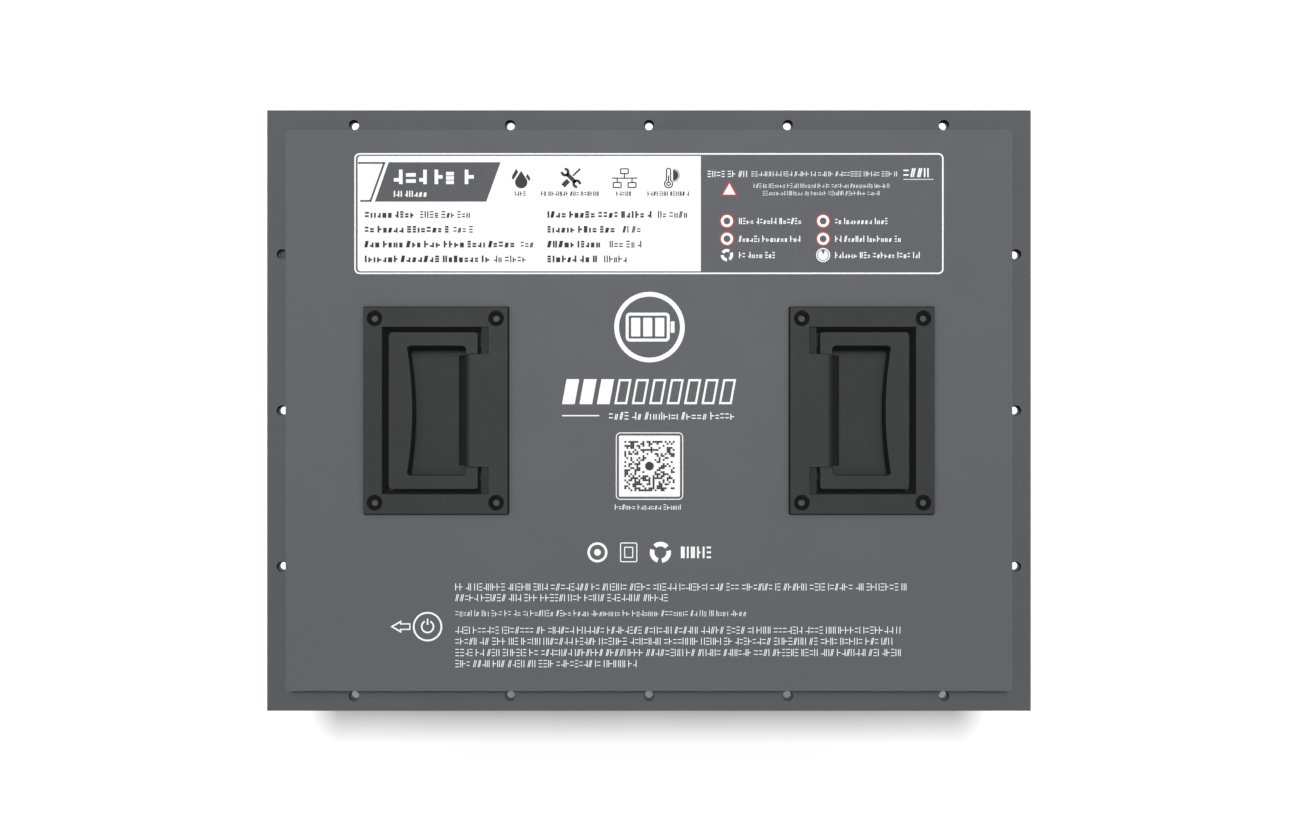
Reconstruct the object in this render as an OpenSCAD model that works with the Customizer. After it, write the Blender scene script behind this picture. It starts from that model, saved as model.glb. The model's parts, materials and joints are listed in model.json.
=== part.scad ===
// Lithium iron phosphate battery pack for a small electric vehicle.
// A sheet-steel tub with a flanged lid holds twelve prismatic cells in two rows of six.
// The lid carries two recessed folding handles. The left wall carries the power terminals,
// the signal ports, the main switch and a pressure vent.
// Origin: centre of the base. +Z up, -X the wall with the terminals, -Y the front.

/* [Case] */
// Width of the tub's walls, along X
case_w = 412; // [408:1:430]
// Depth of the tub's walls, along Y
case_d = 318; // [316:1:330]
// Height of the lid flange's top face above the base
flange_z = 160; // [158:1:190]
// How far the mounting flange stands out from the walls
flange_w = 14; // [13:0.5:20]
// How far the lid's raised top stands above its flange
lid_rise = 11; // [8:1:20]
// Sheet steel thickness
sheet = 1.5; // [1.2:0.1:2]
// Thickness of the lid seal when bolted down
seal_t = 2; // [1.5:0.5:3]

/* [Mounting holes] */
// Hole centre to the flange's outer edge
hole_inset = 8.5; // [8:0.5:9]
// Clearance hole in the lid flange
lid_hole_d = 6; // [5.5:0.1:6.5]
// Tapped hole in the tub flange, drawn at its pitch diameter
tub_hole_d = 4.5; // [4.2:0.1:5]
// Spacing from the centre hole to the next one along X
hole_near_x = 80; // [70:1:90]
// Distance from the centre line to the outermost hole along X
hole_far_x = 170; // [150:1:180]
// Spacing of the holes along Y
hole_pitch_y = 90; // [70:1:100]

/* [Handles] */
// Distance of each handle's centre from the middle of the lid
handle_x = 120.5; // [110:0.5:130]
// Width of the handle housing's face plate
bezel_w = 81.4; // [81:0.2:90]
// Length of the handle housing's face plate
bezel_d = 116.4; // [116:0.2:125]
// Depth of the recess below the face plate's top
well_depth = 14.5; // [13:0.5:17]
// Length of the folding grip
bail_d = 88.3; // [84:0.1:90]

/* [Cells] */
// Wrapped cell length
cell_w = 160; // [150:1:160]
// Wrapped cell thickness
cell_t = 50; // [45:0.5:50]
// Height of the aluminium can
cell_h = 117; // [100:1:117]
// Cells in each row
cells_per_row = 6; // [4:2:6]

/* [Left wall] */
// Height of the fittings' centre line above the base
fit_z = 95; // [85:1:100]
// Position of the positive terminal along Y
pos_y = 124; // [120:1:126]
// Position of the negative terminal along Y
neg_y = 86; // [80:1:88]
// Position of the main switch along Y
switch_y = -124; // [-130:1:-110]
// Travel of the switch button
switch_travel = 2.5; // [1:0.5:3]

/* [Hidden] */

$fn = 48;
cut = 1;            // how far a cutting tool runs past the face it opens
gap = 0.3;          // assembly clearance between fixed pieces
run = 0.05;         // radial clearance of a turning pin

wall_x = case_w / 2;
wall_y = case_d / 2;
top_z = flange_z + lid_rise;                 // the lid's raised face
tub_z = flange_z - sheet - seal_t;           // the tub flange's top face
edge_x = wall_x + flange_w;
edge_y = wall_y + flange_w;
row_x = edge_x - hole_inset;                 // mounting holes beside the left and right walls
row_y = edge_y - hole_inset;                 // mounting holes beside the front and rear walls

// ---------------------------------------------------------------- shared shapes

// A block with rounded upright corners, centred on X and Y, standing on z = 0.
module block(size, r = 2) {
    linear_extrude(size[2])
        offset(r = r, $fn = 20)
            square([size[0] - 2 * r, size[1] - 2 * r], center = true);
}

// A flat frame: a rounded plate with a rounded opening.
module frame(outer, inner, h, r_out = 2, r_in = 2) {
    difference() {
        block([outer[0], outer[1], h], r_out);
        translate([0, 0, -cut]) block([inner[0], inner[1], h + 2 * cut], r_in);
    }
}

// A cylinder along X, starting at x = 0 and running towards +X.
module rod_x(r, h) {
    rotate([0, 90, 0]) cylinder(r = r, h = h);
}

// A cylinder along Y, centred on the origin.
module rod_y(r, h) {
    rotate([90, 0, 0]) cylinder(r = r, h = h, center = true);
}

// A hexagonal nut standing on z = 0, with a plain bore.
module hex_nut(flats, h, bore_r) {
    difference() {
        cylinder(r = flats / sqrt(3), h = h, $fn = 6);
        translate([0, 0, -cut]) cylinder(r = bore_r, h = h + 2 * cut);
    }
}

// A round wire or cable that runs straight from point to point.
module cable(points, r) {
    for (i = [0 : len(points) - 2]) {
        step = points[i + 1] - points[i];
        length = norm(step);
        translate(points[i])
            rotate([0, acos(step[2] / length), atan2(step[1], step[0])])
                cylinder(r = r, h = length);
    }
    for (i = [1 : 1 : len(points) - 2]) translate(points[i]) sphere(r = 1.04 * r);
}

// ---------------------------------------------------------------- case

// Centres of the sixteen open mounting holes.
mounting_holes = concat(
    [for (s = [-1, 1], x = [-hole_far_x, -hole_near_x, 0, hole_near_x, hole_far_x]) [x, s * row_y]],
    [for (s = [-1, 1], y = [-hole_pitch_y, 0, hole_pitch_y]) [s * row_x, y]]
);

// Centres of the studs that hold the lid down, between the mounting holes.
stud_corner_x = 195;
stud_corner_y = 130;
stud_spots = concat(
    [for (s = [-1, 1], t = [-1, 1], x = [hole_near_x / 2, (hole_near_x + hole_far_x) / 2, stud_corner_x])
        [t * x, s * row_y]],
    [for (s = [-1, 1], t = [-1, 1], y = [hole_pitch_y / 2, stud_corner_y]) [s * row_x, t * y]]
);
stud_r = 2;
stud_drop = 10;

module at_spots(spots, z = 0) {
    for (p = spots) translate([p[0], p[1], z]) children();
}

// Openings in the left wall for the fittings.
terminal_hole_r = 11;
switch_hole_r = 11;
port_hole_r = 8;
vent_hole_r = 6;
port_ys = [-20, -68];
vent_spot = [21, 122];
term_screw_y = 12.5;
term_screw_z = 14.5;
term_screw_r = 1.5;

module left_wall_openings() {
    translate([-wall_x - cut, 0, 0]) {
        for (y = [pos_y, neg_y]) translate([0, y, fit_z]) {
            rod_x(terminal_hole_r, sheet + 2 * cut);
            for (s = [-1, 1], t = [-1, 1])
                translate([0, s * term_screw_y, t * term_screw_z]) rod_x(term_screw_r + run, sheet + 2 * cut);
        }
        translate([0, switch_y, fit_z]) rod_x(switch_hole_r, sheet + 2 * cut);
        for (y = port_ys) translate([0, y, fit_z]) rod_x(port_hole_r, sheet + 2 * cut);
        translate([0, vent_spot[0], vent_spot[1]]) rod_x(vent_hole_r, sheet + 2 * cut);
    }
}

module case_tub() {
    bend_r = 3;
    color("#626467") difference() {
        union() {
            block([case_w, case_d, tub_z], bend_r);
            translate([0, 0, tub_z - sheet / 2]) cube([2 * edge_x, 2 * edge_y, sheet], center = true);
        }
        translate([0, 0, sheet])
            block([case_w - 2 * sheet, case_d - 2 * sheet, tub_z], bend_r - sheet);
        at_spots(mounting_holes, tub_z - sheet - cut) cylinder(d = tub_hole_d, h = sheet + 2 * cut);
        at_spots(stud_spots, tub_z - sheet - cut) cylinder(r = stud_r + gap, h = sheet + 2 * cut);
        left_wall_openings();
        bracket_screw_holes();
    }
}

// The lid is one folded and welded pan: an outer flange and a raised top.
module lid() {
    bend_r = 2;
    color("#626467") difference() {
        union() {
            translate([0, 0, flange_z - sheet / 2]) cube([2 * edge_x, 2 * edge_y, sheet], center = true);
            translate([0, 0, flange_z - sheet]) block([case_w, case_d, lid_rise + sheet], bend_r);
        }
        translate([0, 0, flange_z - sheet - cut])
            block([case_w - 2 * sheet, case_d - 2 * sheet, lid_rise + cut], bend_r - sheet);
        at_spots(mounting_holes, flange_z - sheet - cut) cylinder(d = lid_hole_d, h = sheet + 2 * cut);
        at_handles() {
            translate([0, 0, -sheet - cut])
                block([tray_w + 2 * gap, tray_d + 2 * gap, sheet + 2 * cut], tray_r + gap);
            at_bezel_screws(-sheet - cut) cylinder(r = screw_r + gap, h = sheet + 2 * cut);
        }
    }
}

module lid_seal() {
    color("#1c1c1c") translate([0, 0, tub_z]) difference() {
        frame([2 * edge_x - 1, 2 * edge_y - 1], [case_w - 2 * sheet, case_d - 2 * sheet], seal_t, 1, 1);
        at_spots(mounting_holes, -cut) cylinder(d = lid_hole_d + 1, h = seal_t + 2 * cut);
        at_spots(stud_spots, -cut) cylinder(r = stud_r + gap, h = seal_t + 2 * cut);
    }
}

// Studs welded to the underside of the lid's flange, pointing down.
module lid_studs() {
    color("silver") at_spots(stud_spots, flange_z - sheet - stud_drop) cylinder(r = stud_r, h = stud_drop);
}

module lid_nuts() {
    washer_h = 0.8;
    nut_h = 3.2;
    color("silver") at_spots(stud_spots, tub_z - sheet) {
        translate([0, 0, -washer_h]) difference() {
            cylinder(r = 4.4, h = washer_h);
            translate([0, 0, -cut]) cylinder(r = stud_r + run, h = washer_h + 2 * cut);
        }
        translate([0, 0, -washer_h - nut_h]) hex_nut(7, nut_h, stud_r + run);
    }
}

module rating_label() {
    label_w = 334;
    label_d = 68.6;
    label_y = 111.6;
    film = 0.2;
    color("white") translate([0, label_y, top_z]) block([label_w, label_d, film], 3);
}

// ---------------------------------------------------------------- folding handles
// Each handle is drawn about its face plate's centre, with z = 0 on the lid's raised face
// and the hinge towards +X. The right handle is the left one mirrored.

handle_seal_t = 0.8;
handle_seal_show = 0.7;         // how far the seal stands out round the face plate
bezel_t = 2.8;
bezel_top = handle_seal_t + bezel_t;
recess_w = 60.4;
recess_d = 94.6;
draft = 1.2;                    // how far the recess walls lean in by the floor
tray_wall = 1.8;
tray_w = recess_w + 2 * tray_wall;
tray_d = recess_d + 2 * tray_wall;
tray_r = 4;
floor_z = bezel_top - well_depth;
tray_floor = 2;
screw_r = 2;
screw_spot = [34.3, 52];

bail_t = 8;
bail_top = bezel_top - 0.6;
bail_left = -26.3;              // the grip's outer edge
pivot_x = 20.1;
pivot_z = bail_top - bail_t / 2;
knuckle_r = bail_t / 2;
pin_r = 2;
grip_end_w = 9.9;               // width of the grip where it meets the arms
grip_bulge = 3.2;               // how much wider it is in the middle
arm_w = 7.4;
opening_right = 17.3;           // the opening's edge nearest the hinge
tongue_left = 16.1;
tongue_d = 63.5;                // length of the hinge block between the knuckles
groove_w = 5;
groove_depth = 4.5;
ledge_left = 25.9;              // shelf beside the knuckles, just below the rim
ledge_step = 1.2;
spring_r = 2.75;
spring_wire_r = 0.4;
spring_pocket_r = 3.3;
spring_pocket_d = 9;

module at_handle(side) {
    translate([side * handle_x, 0, top_z]) mirror([side > 0 ? 1 : 0, 0, 0]) children();
}

module at_handles() {
    for (side = [-1, 1]) at_handle(side) children();
}

module at_bezel_screws(z) {
    for (s = [-1, 1], t = [-1, 1]) translate([s * screw_spot[0], t * screw_spot[1], z]) children();
}

// Section of the hinge block, along Y: rises from the recess floor, with a rounded nose.
module hinge_block_section() {
    nose_r = 4;
    difference() {
        translate([tongue_left, floor_z - cut])
            square([recess_w / 2 - tongue_left + cut, bezel_top - floor_z + cut]);
        translate([tongue_left - cut, bezel_top - nose_r]) square([nose_r + cut, nose_r + cut]);
    }
    translate([tongue_left + nose_r, bezel_top - nose_r]) circle(r = nose_r);
}

// The recess: a rectangular pocket whose four walls lean in towards the floor.
module recess_cut() {
    depth = bezel_top - floor_z;
    floor_w = recess_w - 2 * draft;
    floor_d = recess_d - 2 * draft;
    grow_x = 1 + 2 * draft / floor_w * (depth + cut) / depth;
    grow_y = 1 + 2 * draft / floor_d * (depth + cut) / depth;
    translate([0, 0, floor_z])
        linear_extrude(depth + cut, scale = [grow_x, grow_y]) square([floor_w, floor_d], center = true);
}

module handle_housing() {
    csk_r = 4.55;
    csk_depth = csk_r - screw_r - 0.15;
    stop_z = pivot_z - knuckle_r - 0.1;
    side_d = (recess_d - tongue_d) / 2;
    wall_in = recess_w / 2 + 0.5;
    rest_h = bail_top - bail_t - 0.1 - floor_z;
    difference() {
        union() {
            difference() {
                union() {
                    translate([0, 0, handle_seal_t]) block([bezel_w, bezel_d, bezel_t], 0.6);
                    translate([0, 0, floor_z - tray_floor])
                        block([tray_w, tray_d, handle_seal_t + tray_floor - floor_z + 0.5], tray_r);
                    // the groove's housing below the floor
                    translate([tongue_left - groove_w - 2, -tongue_d / 2 - 2, floor_z - tray_floor - groove_depth])
                        cube([groove_w + 4, tongue_d + 4, groove_depth + 1]);
                }
                recess_cut();
            }
            // hinge block
            rotate([90, 0, 0]) linear_extrude(tongue_d, center = true) hinge_block_section();
            for (s = [-1, 1]) {
                // shelf beside the knuckle
                translate([ledge_left, s > 0 ? tongue_d / 2 - 1 : -recess_d / 2 - 0.5, floor_z - 1])
                    cube([wall_in - ledge_left, side_d + 1.5, bezel_top - ledge_step - floor_z + 1]);
                // stop under the grip's heel when it stands upright
                translate([pivot_x + 2.6, s * 38 - 2, floor_z - 1]) cube([5, 4, stop_z - floor_z + 1]);
                // rest under the grip's corner
                translate([bail_left, s * 40 - 2, floor_z - 1]) cube([5, 4, rest_h + 1]);
            }
        }
        translate([tongue_left - groove_w, -tongue_d / 2, floor_z - groove_depth])
            cube([groove_w, tongue_d, groove_depth + 2]);
        translate([pivot_x, 0, pivot_z]) {
            rod_y(pin_r + run, tongue_d + 2 * cut);
            for (s = [-1, 1])
                translate([0, s * (tongue_d - spring_pocket_d) / 2, 0])
                    rod_y(spring_pocket_r, spring_pocket_d + 0.01);
        }
        at_bezel_screws(handle_seal_t - cut) cylinder(r = screw_r + 0.15, h = bezel_t + 2 * cut);
        at_bezel_screws(bezel_top - csk_depth) cylinder(r1 = screw_r + 0.15, r2 = csk_r, h = csk_depth);
        at_bezel_screws(bezel_top - 0.001) cylinder(r = csk_r, h = cut);
    }
}

// The folding grip: a straight outer edge, a grip that is widest in the middle, and two
// arms that end in knuckles either side of the hinge block.
module bail_outline() {
    half_d = bail_d / 2;
    corner_r = 2;
    open_r = 2.5;
    open_half = half_d - arm_w;
    open_left = bail_left + grip_end_w;
    right = pivot_x + knuckle_r;
    // the grip's inner edge is an arc through the opening's two ends and the bulge's peak
    arc_r = (pow(open_half, 2) + pow(grip_bulge, 2)) / (2 * grip_bulge);
    difference() {
        translate([bail_left + corner_r, -half_d + corner_r])
            offset(r = corner_r, $fn = 24)
                square([right - bail_left - 2 * corner_r, bail_d - 2 * corner_r]);
        difference() {
            translate([open_left + open_r, -open_half + open_r])
                offset(r = open_r, $fn = 24)
                    square([opening_right - open_left - 2 * open_r, 2 * (open_half - open_r)]);
            translate([open_left + grip_bulge - arc_r, 0]) circle(r = arc_r, $fn = 240);
        }
        // room for the hinge block between the knuckles
        translate([opening_right - 3, -tongue_d / 2 - gap]) square([20, tongue_d + 2 * gap]);
    }
}

module bail_side() {
    heel_r = 0.6;
    translate([bail_left - cut, bail_top - bail_t - cut]) square([pivot_x - bail_left + cut, bail_t + 2 * cut]);
    translate([pivot_x, pivot_z]) circle(r = knuckle_r + 0.002);
    translate([pivot_x - cut, pivot_z]) square([knuckle_r + cut - heel_r, knuckle_r + cut]);
    translate([pivot_x, pivot_z]) square([knuckle_r + 0.002, knuckle_r - heel_r]);
    translate([pivot_x + knuckle_r - heel_r, pivot_z + knuckle_r - heel_r]) circle(r = heel_r);
}

module handle_bail() {
    relief_r = 9.5;
    difference() {
        intersection() {
            translate([0, 0, bail_top - bail_t]) linear_extrude(bail_t) bail_outline();
            // side view: the knuckles are round below and have a square heel above
            rotate([90, 0, 0]) linear_extrude(bail_d + 2 * cut, center = true) bail_side();
        }
        translate([pivot_x, 0, pivot_z]) rod_y(pin_r + run, bail_d + 2 * cut);
        // holes for the springs' outer tangs
        for (s = [-1, 1])
            translate([pivot_x, s * (tongue_d / 2 + gap + 1), pivot_z - spring_r]) rod_y(spring_wire_r + 0.1, 4);
        // finger relief under the grip
        translate([bail_left + 4, 0, bail_top - bail_t - 7]) rod_y(relief_r, 2 * (bail_d / 2 - arm_w));
    }
}

// A coil of round wire about the Y axis, as a tube swept along a helix, with a straight tang
// at each end. The tangs run along Y at the bottom of the coil.
module torsion_spring(turns = 4.0) {
    steps = 14;
    sides = 6;
    pitch = 2 * spring_wire_r + 0.25;
    count = floor(turns * steps);
    tang = 2.2;
    coil = [for (i = [0 : count]) let (a = 360 * i / steps - 90)
        [spring_r * cos(a), pitch * i / steps, spring_r * sin(a)]];
    path = concat([coil[0] - [0, tang, 0]], coil, [coil[count] + [0, tang, 0]]);
    last = len(path) - 1;
    function along(i) = let (d = path[min(i + 1, last)] - path[max(i - 1, 0)]) d / norm(d);
    function outward(i) = let (p = path[i], r = [p[0], 0, p[2]]) r / norm(r);
    points = [for (i = [0 : last]) let (t = along(i), n0 = outward(i), n = n0 - (n0 * t) * t, b = cross(t, n))
        for (k = [0 : sides - 1]) path[i] + spring_wire_r * (cos(60 * k) * n / norm(n) + sin(60 * k) * b)];
    faces = concat(
        [[for (k = [0 : sides - 1]) k]],
        [for (i = [0 : last - 1], k = [0 : sides - 1]) let (a = sides * i, k2 = (k + 1) % sides)
            [a + k, a + sides + k, a + sides + k2, a + k2]],
        [[for (k = [sides - 1 : -1 : 0]) sides * last + k]]
    );
    polyhedron(points, faces, convexity = 4);
}

module handle_springs() {
    coil_d = 4 * (2 * spring_wire_r + 0.25);
    color("silver") for (s = [-1, 1])
        translate([pivot_x, s * (tongue_d / 2 - 1 - coil_d / 2), pivot_z])
            translate([0, -coil_d / 2, 0]) torsion_spring();
}

module handle_pins() {
    color("silver") at_handles() translate([pivot_x, 0, pivot_z]) rod_y(pin_r, bail_d - 0.4);
}

module handle_seals() {
    color("#1c1c1c") at_handles() difference() {
        frame([bezel_w + 2 * handle_seal_show, bezel_d + 2 * handle_seal_show], [tray_w + 0.2, tray_d + 0.2],
            handle_seal_t, 1, tray_r);
        at_bezel_screws(-cut) cylinder(r = screw_r + gap, h = handle_seal_t + 2 * cut);
    }
}

backplate_t = 2;

module handle_backplates() {
    color("silver") at_handles() translate([0, 0, -sheet - backplate_t]) difference() {
        frame([bezel_w, bezel_d], [tray_w + 1, tray_d + 1], backplate_t, 3, tray_r + 0.5);
        at_bezel_screws(-cut) cylinder(r = screw_r + gap, h = backplate_t + 2 * cut);
    }
}

module handle_screws() {
    head_r = 4.15;
    head_h = head_r - screw_r;
    sink = 0.15;
    socket_r = 1.95;
    length = 12;
    color("silver") at_handles() at_bezel_screws(bezel_top - sink - length) difference() {
        union() {
            cylinder(r = screw_r, h = length);
            translate([0, 0, length - head_h]) cylinder(r1 = screw_r, r2 = head_r, h = head_h);
        }
        translate([0, 0, length - 1.6]) cylinder(r = socket_r, h = 2);
    }
}

module handle_nuts() {
    nut_h = 4;
    color("silver") at_handles() at_bezel_screws(-sheet - backplate_t - nut_h) hex_nut(7, nut_h, screw_r + run);
}

// ---------------------------------------------------------------- cells
// Two rows of cells stacked along Y. Each cell is drawn about the middle of its base.

spacer_t = 0.8;
pad_t = 2.5;
sleeve_t = 0.3;
can_wall = 0.8;
cap_t = 2;
cell_pitch = cell_t + spacer_t;
cells_z = sheet + pad_t;                      // underside of the wrapped cells
can_w = cell_w - 2 * sleeve_t - 0.1;
can_t = cell_t - 2 * sleeve_t - 0.1;
can_top = cells_z + sleeve_t + cell_h;
terminal_x = 61.5;                            // terminal to the cell's centre line
row_xs = [-42, 121];
stack_d = cells_per_row * cell_pitch - spacer_t;
seal_h = 1;
pad_h = 3;
busbar_t = 2;
busbar_z = can_top + seal_h + pad_h;
terminal_stud_r = 3;

function cell_y(i) = (i - (cells_per_row - 1) / 2) * cell_pitch;

// +1 where cell i's positive terminal is on its +X side, -1 where it is on its -X side.
// Neighbours alternate, so one straight busbar joins each pair, and both rows end at the rear
// with terminals that face each other across the gap.
function positive_side(i) = i % 2 == 0 ? -1 : 1;

module at_cells(z = cells_z) {
    for (row = [0, 1], i = [0 : cells_per_row - 1]) translate([row_xs[row], cell_y(i), z]) children();
}

// Every terminal of one polarity.
module at_terminals(polarity) {
    for (row = [0, 1], i = [0 : cells_per_row - 1])
        translate([row_xs[row] + polarity * positive_side(i) * terminal_x, cell_y(i), can_top]) children();
}

module cell_cans() {
    color("silver") at_cells(cells_z + sleeve_t + 0.05) difference() {
        block([can_w, can_t, cell_h - 0.05], 3);
        translate([0, 0, 1]) block([can_w - 2 * can_wall, can_t - 2 * can_wall, cell_h], 3 - can_wall);
    }
}

module cell_cap_plates() {
    color("lightgray") at_cells(can_top - cap_t) difference() {
        block([can_w - 2 * can_wall - 0.1, can_t - 2 * can_wall - 0.1, cap_t], 3 - can_wall);
        for (s = [-1, 1]) translate([s * terminal_x, 0, -cut]) cylinder(r = 5.5, h = cap_t + 2 * cut);
        translate([0, 0, -cut]) vent_shape(0, cap_t + 2 * cut);
    }
}

// The burst disc's outline: a slot with round ends.
module vent_shape(clearance, h) {
    half = 7;
    r = 6 - clearance;
    for (s = [-1, 1]) translate([s * half, 0, 0]) cylinder(r = r, h = h);
    translate([-half, -r, 0]) cube([2 * half, 2 * r, h]);
}

module cell_vent_discs() {
    color("silver") at_cells(can_top - 1.4) vent_shape(0.15, 0.6);
}

module cell_electrode_stacks() {
    stack_h = cell_h - cap_t - 10;
    color("#2b2b2b") at_cells(cells_z + sleeve_t + 2.5) block([can_w - 4, can_t - 2.6, stack_h], 2);
}

module cell_sleeves() {
    color("#2c5fa8") at_cells() difference() {
        block([cell_w, cell_t, cell_h - 2], 3.3);
        translate([0, 0, sleeve_t]) block([cell_w - 2 * sleeve_t, cell_t - 2 * sleeve_t, cell_h], 3);
    }
}

module cell_terminal(polarity) {
    at_terminals(polarity) {
        translate([0, 0, -cap_t - 1]) cylinder(r = 4.6, h = cap_t + 1 + seal_h + 1);
        translate([0, 0, seal_h]) block([20, 20, pad_h], 2);
        translate([0, 0, seal_h]) cylinder(r = terminal_stud_r, h = pad_h + 11);
    }
}

module cell_positive_terminals() { color("silver") cell_terminal(1); }

module cell_negative_terminals() { color("#b87333") cell_terminal(-1); }

module cell_terminal_seals() {
    color("#202020") for (polarity = [-1, 1]) at_terminals(polarity) difference() {
        union() {
            block([24, 24, seal_h], 2.5);
            translate([0, 0, -cap_t]) cylinder(r = 5.4, h = cap_t + 0.5);
        }
        translate([0, 0, -cap_t - cut]) cylinder(r = 4.7, h = cap_t + seal_h + 2 * cut);
    }
}

// ---------------------------------------------------------------- cell module

module_left = row_xs[0] - cell_w / 2;
module_right = row_xs[1] + cell_w / 2;
module_x = (module_left + module_right) / 2;
module_w = module_right - module_left;
end_plate_t = 2.5;
end_plate_h = 105;

module cell_spacers() {
    color("#d8d4c0") for (row = [0, 1], i = [0 : cells_per_row - 2])
        translate([row_xs[row], cell_y(i) + cell_pitch / 2, cells_z + cell_h / 2])
            cube([cell_w - 8, spacer_t - 0.2, cell_h - 12], center = true);
}

module end_plate(side) {
    color("silver") translate([module_x, side * (stack_d / 2 + 0.1 + end_plate_t / 2), cells_z + end_plate_h / 2])
        cube([module_w, end_plate_t, end_plate_h], center = true);
}

module front_end_plate() { end_plate(-1); }

module rear_end_plate() { end_plate(1); }

module module_bands() {
    band_t = 0.6;
    band_h = 16;
    inner = [module_w + 0.2, stack_d + 2 * end_plate_t + 0.4];
    color("gray") for (z = [30, 85]) translate([module_x, 0, z])
        frame([inner[0] + 2 * band_t, inner[1] + 2 * band_t], inner, band_h, 0.8, 0.2);
}

// One link between two studs that stand apart by span, along X or Y.
module busbar(span) {
    slot_r = terminal_stud_r + 0.2;
    difference() {
        block([span[0] + 20, span[1] + 20, busbar_t], 3);
        for (s = [-1, 1]) translate([s * span[0] / 2, s * span[1] / 2, -cut]) cylinder(r = slot_r, h = busbar_t + 2 * cut);
    }
}

module busbars() {
    last = cells_per_row - 1;
    color("#c98a5a") {
        for (row = [0, 1], i = [0 : last - 1])
            translate([row_xs[row] + positive_side(i) * terminal_x * (row == 0 ? 1 : -1),
                       cell_y(i) + cell_pitch / 2, busbar_z])
                busbar([0, cell_pitch]);
        translate([(row_xs[0] + row_xs[1]) / 2, cell_y(last), busbar_z])
            busbar([row_xs[1] - row_xs[0] - 2 * terminal_x, 0]);
    }
}

// Flange nuts on the studs that carry a busbar or a cable lug.
module busbar_nuts() {
    color("silver") for (polarity = [-1, 1]) at_terminals(polarity)
        translate([0, 0, busbar_z + busbar_t - can_top]) {
            hex_nut(10, 5.5, terminal_stud_r + run);
            difference() {
                cylinder(r = 6.8, h = 1.2);
                translate([0, 0, -cut]) cylinder(r = terminal_stud_r + run, h = 1.2 + 2 * cut);
            }
        }
}

cover_z = busbar_z + 12;

module busbar_cover() {
    front = 16;              // left clear for the power cables
    color("#e8e4d4") translate([module_x, front / 2, cover_z]) block([module_w - 4, stack_d - front, 1.5], 4);
}

module floor_pad() {
    color("#3a3a3a") translate([module_x, 0, sheet]) block([module_w, stack_d, pad_t], 2);
}

// Blocks that hold the module down when the lid is closed.
module foam_pads() {
    pad_top = top_z - sheet;
    color("#4a4a4a") for (x = [module_left + 30, module_x - 20, module_right - 30], y = [-90, 90])
        translate([x, y, cover_z + 1.5]) block([44, 40, pad_top - cover_z - 1.5], 3);
}

// ---------------------------------------------------------------- battery management and fuse
// These stand between the left wall and the cell module.

bracket_x = module_left - 4;
bracket_t = 2;
bracket_d = 220;
bracket_foot = 20;
heatsink_t = 6;
board_gap = 4;
board_t = 1.6;
board_x = bracket_x - bracket_t - heatsink_t - board_gap - board_t;
board_d = 190;
board_h = 84;
board_z = 66;
bms_screw_spots = [for (s = [-1, 1], t = [-1, 1]) [s * (board_d / 2 - 6), board_z + t * (board_h / 2 - 6)]];
foot_screw_ys = [-80, 80];

module bracket_screw_holes() {
    for (y = foot_screw_ys) translate([bracket_x - bracket_t - bracket_foot / 2, y, -cut])
        cylinder(r = 2.2, h = sheet + 2 * cut);
}

module bms_bracket() {
    color("silver") difference() {
        union() {
            translate([bracket_x - bracket_t, -bracket_d / 2, sheet]) cube([bracket_t, bracket_d, 112]);
            translate([bracket_x - bracket_t - bracket_foot, -bracket_d / 2, sheet])
                cube([bracket_foot + 1, bracket_d, bracket_t]);
        }
        for (y = foot_screw_ys) translate([bracket_x - bracket_t - bracket_foot / 2, y, 0])
            cylinder(r = 2.2, h = sheet + bracket_t + cut);
        for (p = bms_screw_spots) translate([bracket_x - bracket_t - cut, p[0], p[1]]) rod_x(1.6, bracket_t + 2 * cut);
    }
}

module bms_heatsink() {
    fin = 2;
    color("#9a9ca0") difference() {
        translate([bracket_x - bracket_t - heatsink_t, -board_d / 2, board_z - board_h / 2])
            cube([heatsink_t, board_d, board_h]);
        for (i = [-5 : 5]) translate([bracket_x - bracket_t - heatsink_t - cut, i * 14 - fin, board_z - 30])
            cube([3 + cut, 2 * fin, 60]);
        for (p = bms_screw_spots)
            translate([bracket_x - bracket_t - heatsink_t - cut, p[0], p[1]]) rod_x(1.6, heatsink_t + 2 * cut);
    }
}

module bms_board() {
    color("#1f5f3a") difference() {
        translate([board_x, -board_d / 2, board_z - board_h / 2]) cube([board_t, board_d, board_h]);
        for (p = bms_screw_spots) translate([board_x - cut, p[0], p[1]]) rod_x(1.6, board_t + 2 * cut);
    }
}

lug_pad = [4, 18, 16];
b_minus = [board_x - lug_pad[0], -72, 86];
p_minus = [board_x - lug_pad[0], 50, 86];

// Transistor bank, connector, capacitors and the two copper current pads, all on the board's face.
module bms_components() {
    color("#242424") {
        for (i = [-4 : 3], row = [0, 1])
            translate([board_x - 4.5, i * 16 + 3, board_z - 24 + row * 20]) cube([4.5, 10, 15]);
        translate([board_x - 8, -30, board_z + 24]) cube([8, 50, 9]);
        for (i = [0 : 3]) translate([board_x - 12, 74, board_z - 28 + i * 14]) rod_x(5, 12);
        for (p = [b_minus, p_minus]) translate([p[0], p[1] - lug_pad[1] / 2, p[2] - lug_pad[2] / 2]) cube(lug_pad);
    }
}

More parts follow.
